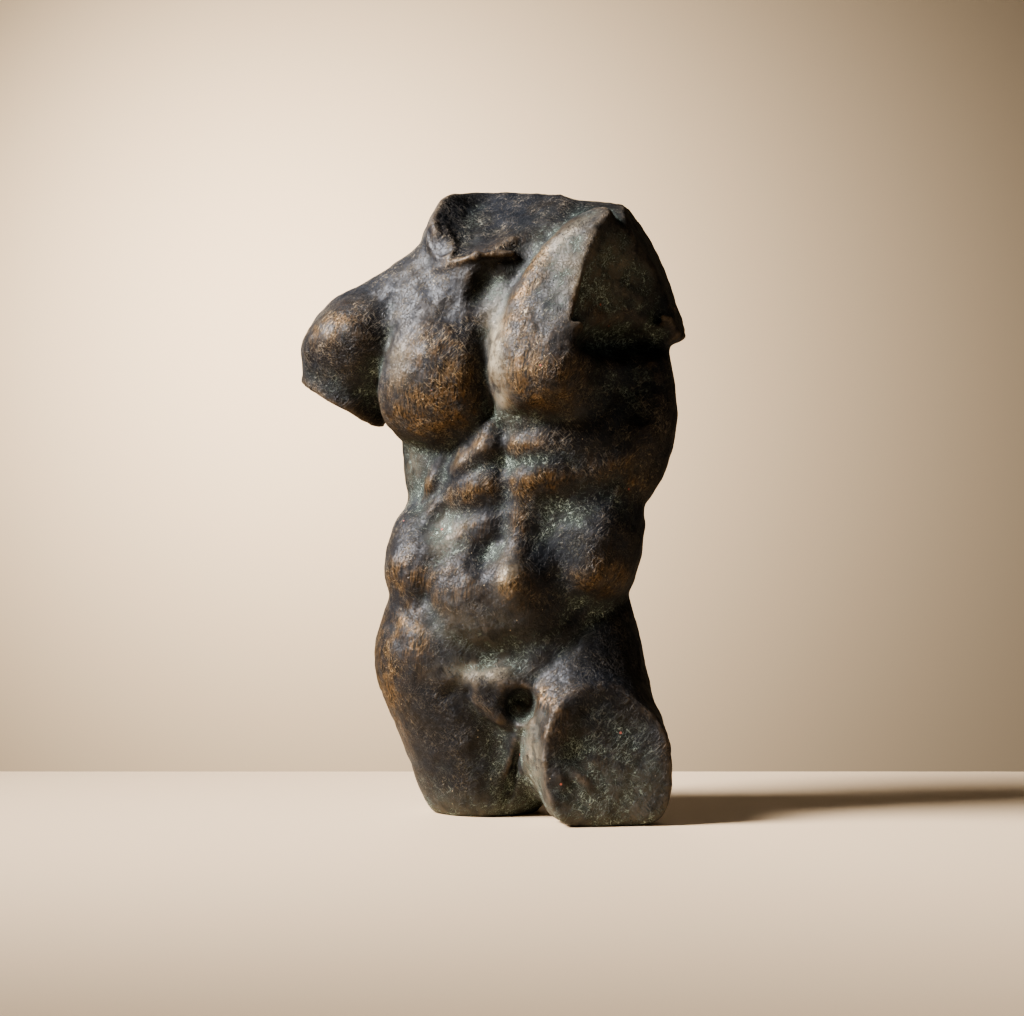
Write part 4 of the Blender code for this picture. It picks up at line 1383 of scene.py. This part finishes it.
@dataclass
class Sculpture:
    """The torso, from its clay to its finish."""

    clay: Torso = field(default_factory=Torso)
    skin: Skin = field(default_factory=Skin)
    finish: PatinatedTerracotta = field(default_factory=PatinatedTerracotta)
    most_triangles: int = 196000

    # rounds of smoothing that fine and broad relief are read against, and the relief that counts as one
    FINE_ROUNDS, FINE_RELIEF = 10, 0.0003
    BROAD_ROUNDS, BROAD_RELIEF = 120, 0.003
    FOOT = 0.03  # the height below which the verdigris creeps up from the table, in metres

    COPPER = (
        Wash((-0.070, -0.090, 0.405), (0.052, 0.05, 0.032), 1.0),  # right chest, lower half
        Wash((-0.034, -0.085, 0.440), (0.022, 0.05, 0.040), 0.5),  # right chest, inner side
        Wash((-0.064, -0.090, 0.470), (0.040, 0.05, 0.030), 0.3),  # right chest, upper part
        Wash((0.045, -0.090, 0.405), (0.042, 0.05, 0.024), 0.9),  # left chest, lower part
        Wash((0.047, -0.070, 0.516), (0.016, 0.05, 0.042), 1.5, 32),  # left chest, upper band
        Wash((0.040, -0.090, 0.450), (0.032, 0.05, 0.036), 0.6),
        Wash((-0.160, -0.075, 0.512), (0.028, 0.08, 0.016), 0.9),  # right shoulder
        Wash((-0.028, -0.066, 0.368), (0.022, 0.04, 0.009), 1.0, -26),  # belly rows
        Wash((-0.052, -0.062, 0.352), (0.014, 0.04, 0.007), 0.7, -26),
        Wash((0.022, -0.070, 0.360), (0.026, 0.04, 0.008), 0.8),
        Wash((-0.034, -0.070, 0.315), (0.028, 0.04, 0.013), 0.9),
        Wash((0.034, -0.070, 0.322), (0.034, 0.04, 0.011), 1.4),
        Wash((-0.034, -0.066, 0.281), (0.020, 0.04, 0.011), 0.8),
        Wash((0.020, -0.066, 0.280), (0.012, 0.04, 0.026), 0.6),
        Wash((-0.091, -0.044, 0.333), (0.010, 0.04, 0.013), 1.0),  # rib ends
        Wash((-0.090, -0.040, 0.312), (0.010, 0.04, 0.010), 0.9),
        Wash((0.098, -0.040, 0.331), (0.018, 0.04, 0.010), 1.0),
        Wash((0.118, -0.020, 0.317), (0.016, 0.04, 0.008), 0.8),
        Wash((0.016, -0.080, 0.226), (0.018, 0.04, 0.018), 0.8),  # beside the navel
        Wash((-0.045, -0.065, 0.228), (0.030, 0.04, 0.026), 0.5),  # belly
        Wash((-0.076, -0.058, 0.206), (0.012, 0.04, 0.022), 0.6, 20),
        Wash((-0.095, -0.045, 0.236), (0.026, 0.06, 0.016), 0.9),  # right flank
        Wash((0.098, -0.045, 0.230), (0.024, 0.05, 0.013), 1.0),  # left flank
        Wash((-0.090, -0.060, 0.184), (0.014, 0.05, 0.030), 1.3, -20),  # right hip
        Wash((-0.118, -0.020, 0.120), (0.016, 0.06, 0.080), 1.0),  # right thigh
        Wash((0.072, -0.100, 0.064), (0.016, 0.05, 0.020), 0.9),  # left thigh's break
        Wash((0.036, -0.080, 0.112), (0.018, 0.05, 0.026), 1.0),  # left thigh
        Wash((0.000, -0.050, 0.545), (0.050, 0.05, 0.012), 0.5),  # lip of the neck
        Wash((0.106, -0.050, 0.480), (0.012, 0.05, 0.024), 0.5),  # left shoulder's break
    )
    # grey-green washes in hollows, and one that paints shade under the right arm
    VERDIGRIS = (
        Wash((-0.112, -0.035, 0.352), (0.022, 0.05, 0.030), 1.0),  # waist, right side
        Wash((-0.070, -0.055, 0.348), (0.018, 0.04, 0.014), 0.5),
        Wash((-0.104, -0.040, 0.298), (0.018, 0.05, 0.020), 0.7),
        Wash((-0.058, -0.057, 0.276), (0.020, 0.04, 0.024), 1.3),
        Wash((-0.005, -0.060, 0.258), (0.009, 0.03, 0.007), 1.0),  # navel
        Wash((0.014, -0.070, 0.393), (0.034, 0.04, 0.014), 1.0),  # under the chests
        Wash((0.012, -0.062, 0.506), (0.009, 0.04, 0.016), 0.9),  # pit of the neck
        Wash((0.018, -0.066, 0.343), (0.042, 0.04, 0.008), 1.1),  # between the belly rows
        Wash((0.100, -0.045, 0.280), (0.024, 0.05, 0.034), 1.1),  # left flank
        Wash((0.058, -0.050, 0.292), (0.030, 0.04, 0.024), 0.6),
        Wash((0.086, -0.048, 0.205), (0.022, 0.04, 0.016), 0.7),
        Wash((-0.010, -0.068, 0.180), (0.064, 0.04, 0.018), 0.6),  # lower belly
        Wash((-0.025, -0.070, 0.144), (0.034, 0.04, 0.010), 0.9),  # above the loins
        Wash((0.019, -0.080, 0.088), (0.010, 0.05, 0.020), 1.0),  # between the thighs
        Wash((0.022, -0.090, 0.054), (0.016, 0.05, 0.045), 1.3),
        Wash((-0.010, -0.060, 0.040), (0.020, 0.05, 0.040), 0.6),
        Wash((0.095, -0.100, 0.055), (0.058, 0.07, 0.045), 0.7),  # left thigh's break
        Wash((0.122, -0.030, 0.508), (0.044, 0.06, 0.050), 3.5),  # left shoulder's break
        Wash((0.090, -0.040, 0.560), (0.040, 0.05, 0.020), 0.6),
        Wash((0.125, -0.020, 0.425), (0.040, 0.06, 0.050), 0.7),  # beside the left chest
        Wash((-0.130, -0.070, 0.430), (0.016, 0.05, 0.050), 0.9),  # right armpit
        Wash((-0.185, -0.050, 0.440), (0.050, 0.10, 0.030), 0.6),  # underside of the right arm: painted shade, laid as a darker grey-green
        Wash((0.000, -0.050, 0.014), (0.250, 0.25, 0.024), 1.5),  # foot
    )
    # pale dust washes, and painted highlights on the left chest, by the navel and above the loins
    DUST = (
        Wash((0.010, -0.075, 0.452), (0.015, 0.04, 0.040), 1.3),  # left chest, inner side: dust, and a painted highlight
        Wash((0.012, -0.075, 0.402), (0.014, 0.04, 0.012), 0.6),
        Wash((-0.058, -0.057, 0.278), (0.014, 0.04, 0.020), 0.7),  # waist
        Wash((-0.112, -0.035, 0.356), (0.016, 0.04, 0.022), 0.4),
        Wash((0.020, -0.090, 0.060), (0.010, 0.05, 0.040), 0.8),  # between the thighs
        Wash((-0.092, -0.090, 0.465), (0.014, 0.04, 0.034), 0.35),  # right chest, outer side
        Wash((0.086, -0.060, 0.548), (0.030, 0.04, 0.008), 0.5, -35),  # left chest, upper edge
        Wash((0.088, -0.070, 0.520), (0.020, 0.04, 0.024), 0.15),
        Wash((0.120, -0.035, 0.508), (0.040, 0.06, 0.040), 0.6),  # left shoulder's break
        Wash((0.105, -0.100, 0.036), (0.060, 0.06, 0.030), 0.3),  # left thigh's break
        Wash((-0.022, -0.072, 0.143), (0.032, 0.04, 0.010), 0.8),  # above the loins: dust, and a painted highlight
        Wash((0.012, -0.080, 0.236), (0.012, 0.04, 0.016), 0.5),  # beside the navel: a painted highlight on the bulge
        Wash((-0.020, -0.070, 0.185), (0.050, 0.04, 0.030), 0.25),  # lower belly
    )

    def build(self) -> bpy.types.Object:
        """Meshes the clay, sets it where the CAD solid stands and dresses it.

        Returns:
            The finished piece.
        """
        points, quads = self.skin.mesh(self.clay)
        middle = (points.min(axis=0) + points.max(axis=0)) / 2
        self.shift = (CAD_LOW + CAD_HIGH) / 2 - middle
        self.shift[2] = 0.0
        mesh = bpy.data.meshes.new("torso_skin")
        mesh.from_pydata((points + self.shift).tolist(), [], quads.tolist())
        mesh = self.thinned(mesh)
        mesh.shade_smooth()
        self.read(Surface(mesh))
        piece = bpy.data.objects.new("torso_skin", mesh)
        bpy.context.scene.collection.objects.link(piece)
        mesh.materials.append(self.finish.make())
        return piece

    def thinned(self, mesh: bpy.types.Mesh) -> bpy.types.Mesh:
        """Takes triangles out where the surface is flat, down to the most allowed.

        Args:
            mesh: the full mesh.

        Returns:
            The thinned mesh.
        """
        piece = bpy.data.objects.new("thinning", mesh)
        bpy.context.scene.collection.objects.link(piece)
        decimate = piece.modifiers.new("Decimate", "DECIMATE")
        decimate.ratio = min(1.0, self.most_triangles / (2 * len(mesh.polygons)))
        graph = bpy.context.evaluated_depsgraph_get()
        thin = bpy.data.meshes.new_from_object(piece.evaluated_get(graph))
        bpy.data.objects.remove(piece)
        return thin

    def read(self, surface: Surface) -> None:
        """Works out where the copper is rubbed through, where verdigris and painted shade lie, where
        dust and painted highlights lie, and where wear lies.

        Args:
            surface: the skin's surface, on whose mesh the four masks are stored.
        """
        p = list((surface.places - self.shift).T)
        q = self.clay.stance.upright(p)
        fine = surface.relief(self.FINE_ROUNDS) / self.FINE_RELIEF
        broad = surface.relief(self.BROAD_ROUNDS) / self.BROAD_RELIEF
        # copper is rubbed through on high places, and verdigris gathers in low ones
        high = np.clip(0.75 + 0.5 * broad + 0.25 * fine, 0, 1.3)
        low = np.clip(0.75 - 0.4 * broad - 0.3 * fine, 0, 1.4)
        copper = high * sum(wash.cover(q) for wash in self.COPPER)
        copper = copper + np.clip(0.15 * broad - 0.1, 0, 0.15)
        # the verdigris washes also paint shade under the right arm
        green_and_painted_shade = low * sum(wash.cover(q) for wash in self.VERDIGRIS)
        green_and_painted_shade = green_and_painted_shade + np.clip(-0.3 * broad - 0.1, 0, 0.4)
        foot = np.clip(1 - p[2] / self.FOOT, 0, 1)
        # the dust washes also paint highlights on the left chest, by the navel and above the loins
        dust = sum(wash.cover(q) for wash in self.DUST) + 0.3 * foot
        worn = np.clip(0.25 * (fine - 2.0), 0, 0.4)
        surface.write(Mask.COPPER, surface.spread(np.clip(copper * (1 - foot), 0, 1), 2))
        surface.write(Mask.VERDIGRIS, surface.spread(np.clip(green_and_painted_shade + 0.9 * foot, 0, 1), 2))
        surface.write(Mask.DUST, np.clip(dust, 0, 1))
        surface.write(Mask.WORN, surface.spread(worn * (1 - foot), 1))


# ------------------------------------------------------------------------------------------------
# The studio


@dataclass(frozen=True)
class Lamp:
    """A square soft lamp.

    Its place and what it faces are in metres, and so is its side. Its power is in watts, the angle that
    its light keeps within is in degrees, and its colour is sRGB hex.
    """

    name: str
    place: Point
    target: Point
    side: float
    power: float
    spread: float
    colour: str

    def hang(self) -> None:
        """Adds the lamp to the scene."""
        light = bpy.data.lights.new(self.name, "AREA")
        light.size = self.side
        light.energy = self.power
        light.color = linear(self.colour)[:3]
        light.spread = math.radians(self.spread)
        lamp = bpy.data.objects.new(self.name, light)
        lamp.location = self.place
        aim = Vector(self.target) - Vector(self.place)
        lamp.rotation_euler = aim.to_track_quat("-Z", "Y").to_euler()
        bpy.context.scene.collection.objects.link(lamp)


@dataclass
class Studio:
    """A pale table top, a pale wall well behind it, four soft lamps and the camera.

    The key lamp to the left models the torso, and the fill opens its shaded side. The wall glow lights
    the wall alone, and the back lamp the torso's back.
    """

    shift: np.ndarray
    table: MattePaint = MattePaint("pale_table", "#f6ddbb")
    wall: MattePaint = MattePaint("pale_wall", "#d6c8b2")
    air_colour: str = "#efe6dc"
    air_strength: float = 0.035
    far_colour: str = "#d8ccba"
    far_strength: float = 0.8

    TABLE = ((-4, -4, 0), (4, -4, 0), (4, 0.35, 0), (-4, 0.35, 0))
    WALL = ((-4, 3.5, -3), (4, 3.5, -3), (4, 3.5, 4), (-4, 3.5, 4))
    LAMPS = (
        Lamp("key", (-2.25, -0.62, 2.05), (0, 0, CAD_HIGH[2] + 0.05), 1.1, 29, 60, "#fdfbfc"),
        Lamp("fill", (2.2, -1.4, 0.6), (0, 0, CAD_HIGH[2]), 1.6, 3.2, 180, "#e8f0ff"),
        Lamp("wall_glow", (-0.8, 1.9, 1.1), (-0.25, 3.5, 0.40), 0.8, 40, 120, "#fff1e2"),
        Lamp("back", (-0.6, 2.8, 1.2), (0, 0, 0.35), 1.6, 3, 90, "#fff4e6"),
    )
    SENSOR, LENS = 36, 85.08  # millimetres
    EYE = (0.0178, -2.394, 0.3116)
    DOWN = 0.26  # degrees

    def plane(self, name: str, corners: tuple[Point, ...], paint: MattePaint) -> None:
        """Adds a flat staged backdrop.

        Args:
            name: the plane's name.
            corners: its four corners, in metres.
            paint: its finish.
        """
        mesh = bpy.data.meshes.new(name)
        mesh.from_pydata(corners, [], [(0, 1, 2, 3)])
        mesh.materials.append(paint.make())
        piece = bpy.data.objects.new(name, mesh)
        bpy.context.scene.collection.objects.link(piece)

    def camera(self) -> None:
        """Sets the camera straight in front, at the height of the sculpture's middle."""
        data = bpy.data.cameras.new("camera")
        data.sensor_width = self.SENSOR
        data.lens = self.LENS
        camera = bpy.data.objects.new("camera", data)
        camera.location = (self.EYE[0] + self.shift[0], self.EYE[1] + self.shift[1], self.EYE[2])
        camera.rotation_euler = (math.radians(90 - self.DOWN), 0, 0)
        bpy.context.scene.collection.objects.link(camera)
        bpy.context.scene.camera = camera

    def air(self) -> bpy.types.World:
        """Makes the studio's surroundings: a little light from all round, and pale walls far off.

        Returns:
            The world.
        """
        world = bpy.data.worlds.new("studio_air")
        world.use_nodes = True
        tree = world.node_tree
        light = tree.nodes["Background"]
        light.inputs["Color"].default_value = linear(self.air_colour)
        light.inputs["Strength"].default_value = self.air_strength
        walls = add(tree, "ShaderNodeBackground", {}, {
            "Color": linear(self.far_colour), "Strength": self.far_strength})
        seen = add(tree, "ShaderNodeLightPath", output="Is Camera Ray")
        both = add(tree, "ShaderNodeMixShader", {}, {0: seen, 1: light.outputs[0], 2: walls})
        tree.links.new(both, tree.nodes["World Output"].inputs["Surface"])
        return world

    def build(self) -> None:
        """Builds the backdrop, the lamps and the camera."""
        self.plane("table", self.TABLE, self.table)
        self.plane("wall", self.WALL, self.wall)
        for lamp in self.LAMPS:
            lamp.hang()
        bpy.context.scene.world = self.air()
        bpy.context.scene.view_settings.look = "AgX - High Contrast"
        self.camera()


def main() -> None:
    """Builds the sculpture and its studio."""
    logging.basicConfig(level=logging.INFO, format="%(message)s")
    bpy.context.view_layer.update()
    sculpture = Sculpture()
    piece = sculpture.build()
    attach(piece, "root")
    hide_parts("torso")
    log.info("%s: %d vertices, %d faces", piece.name, len(piece.data.vertices), len(piece.data.polygons))
    Studio(sculpture.shift).build()


if __name__ == "__main__":
    main()
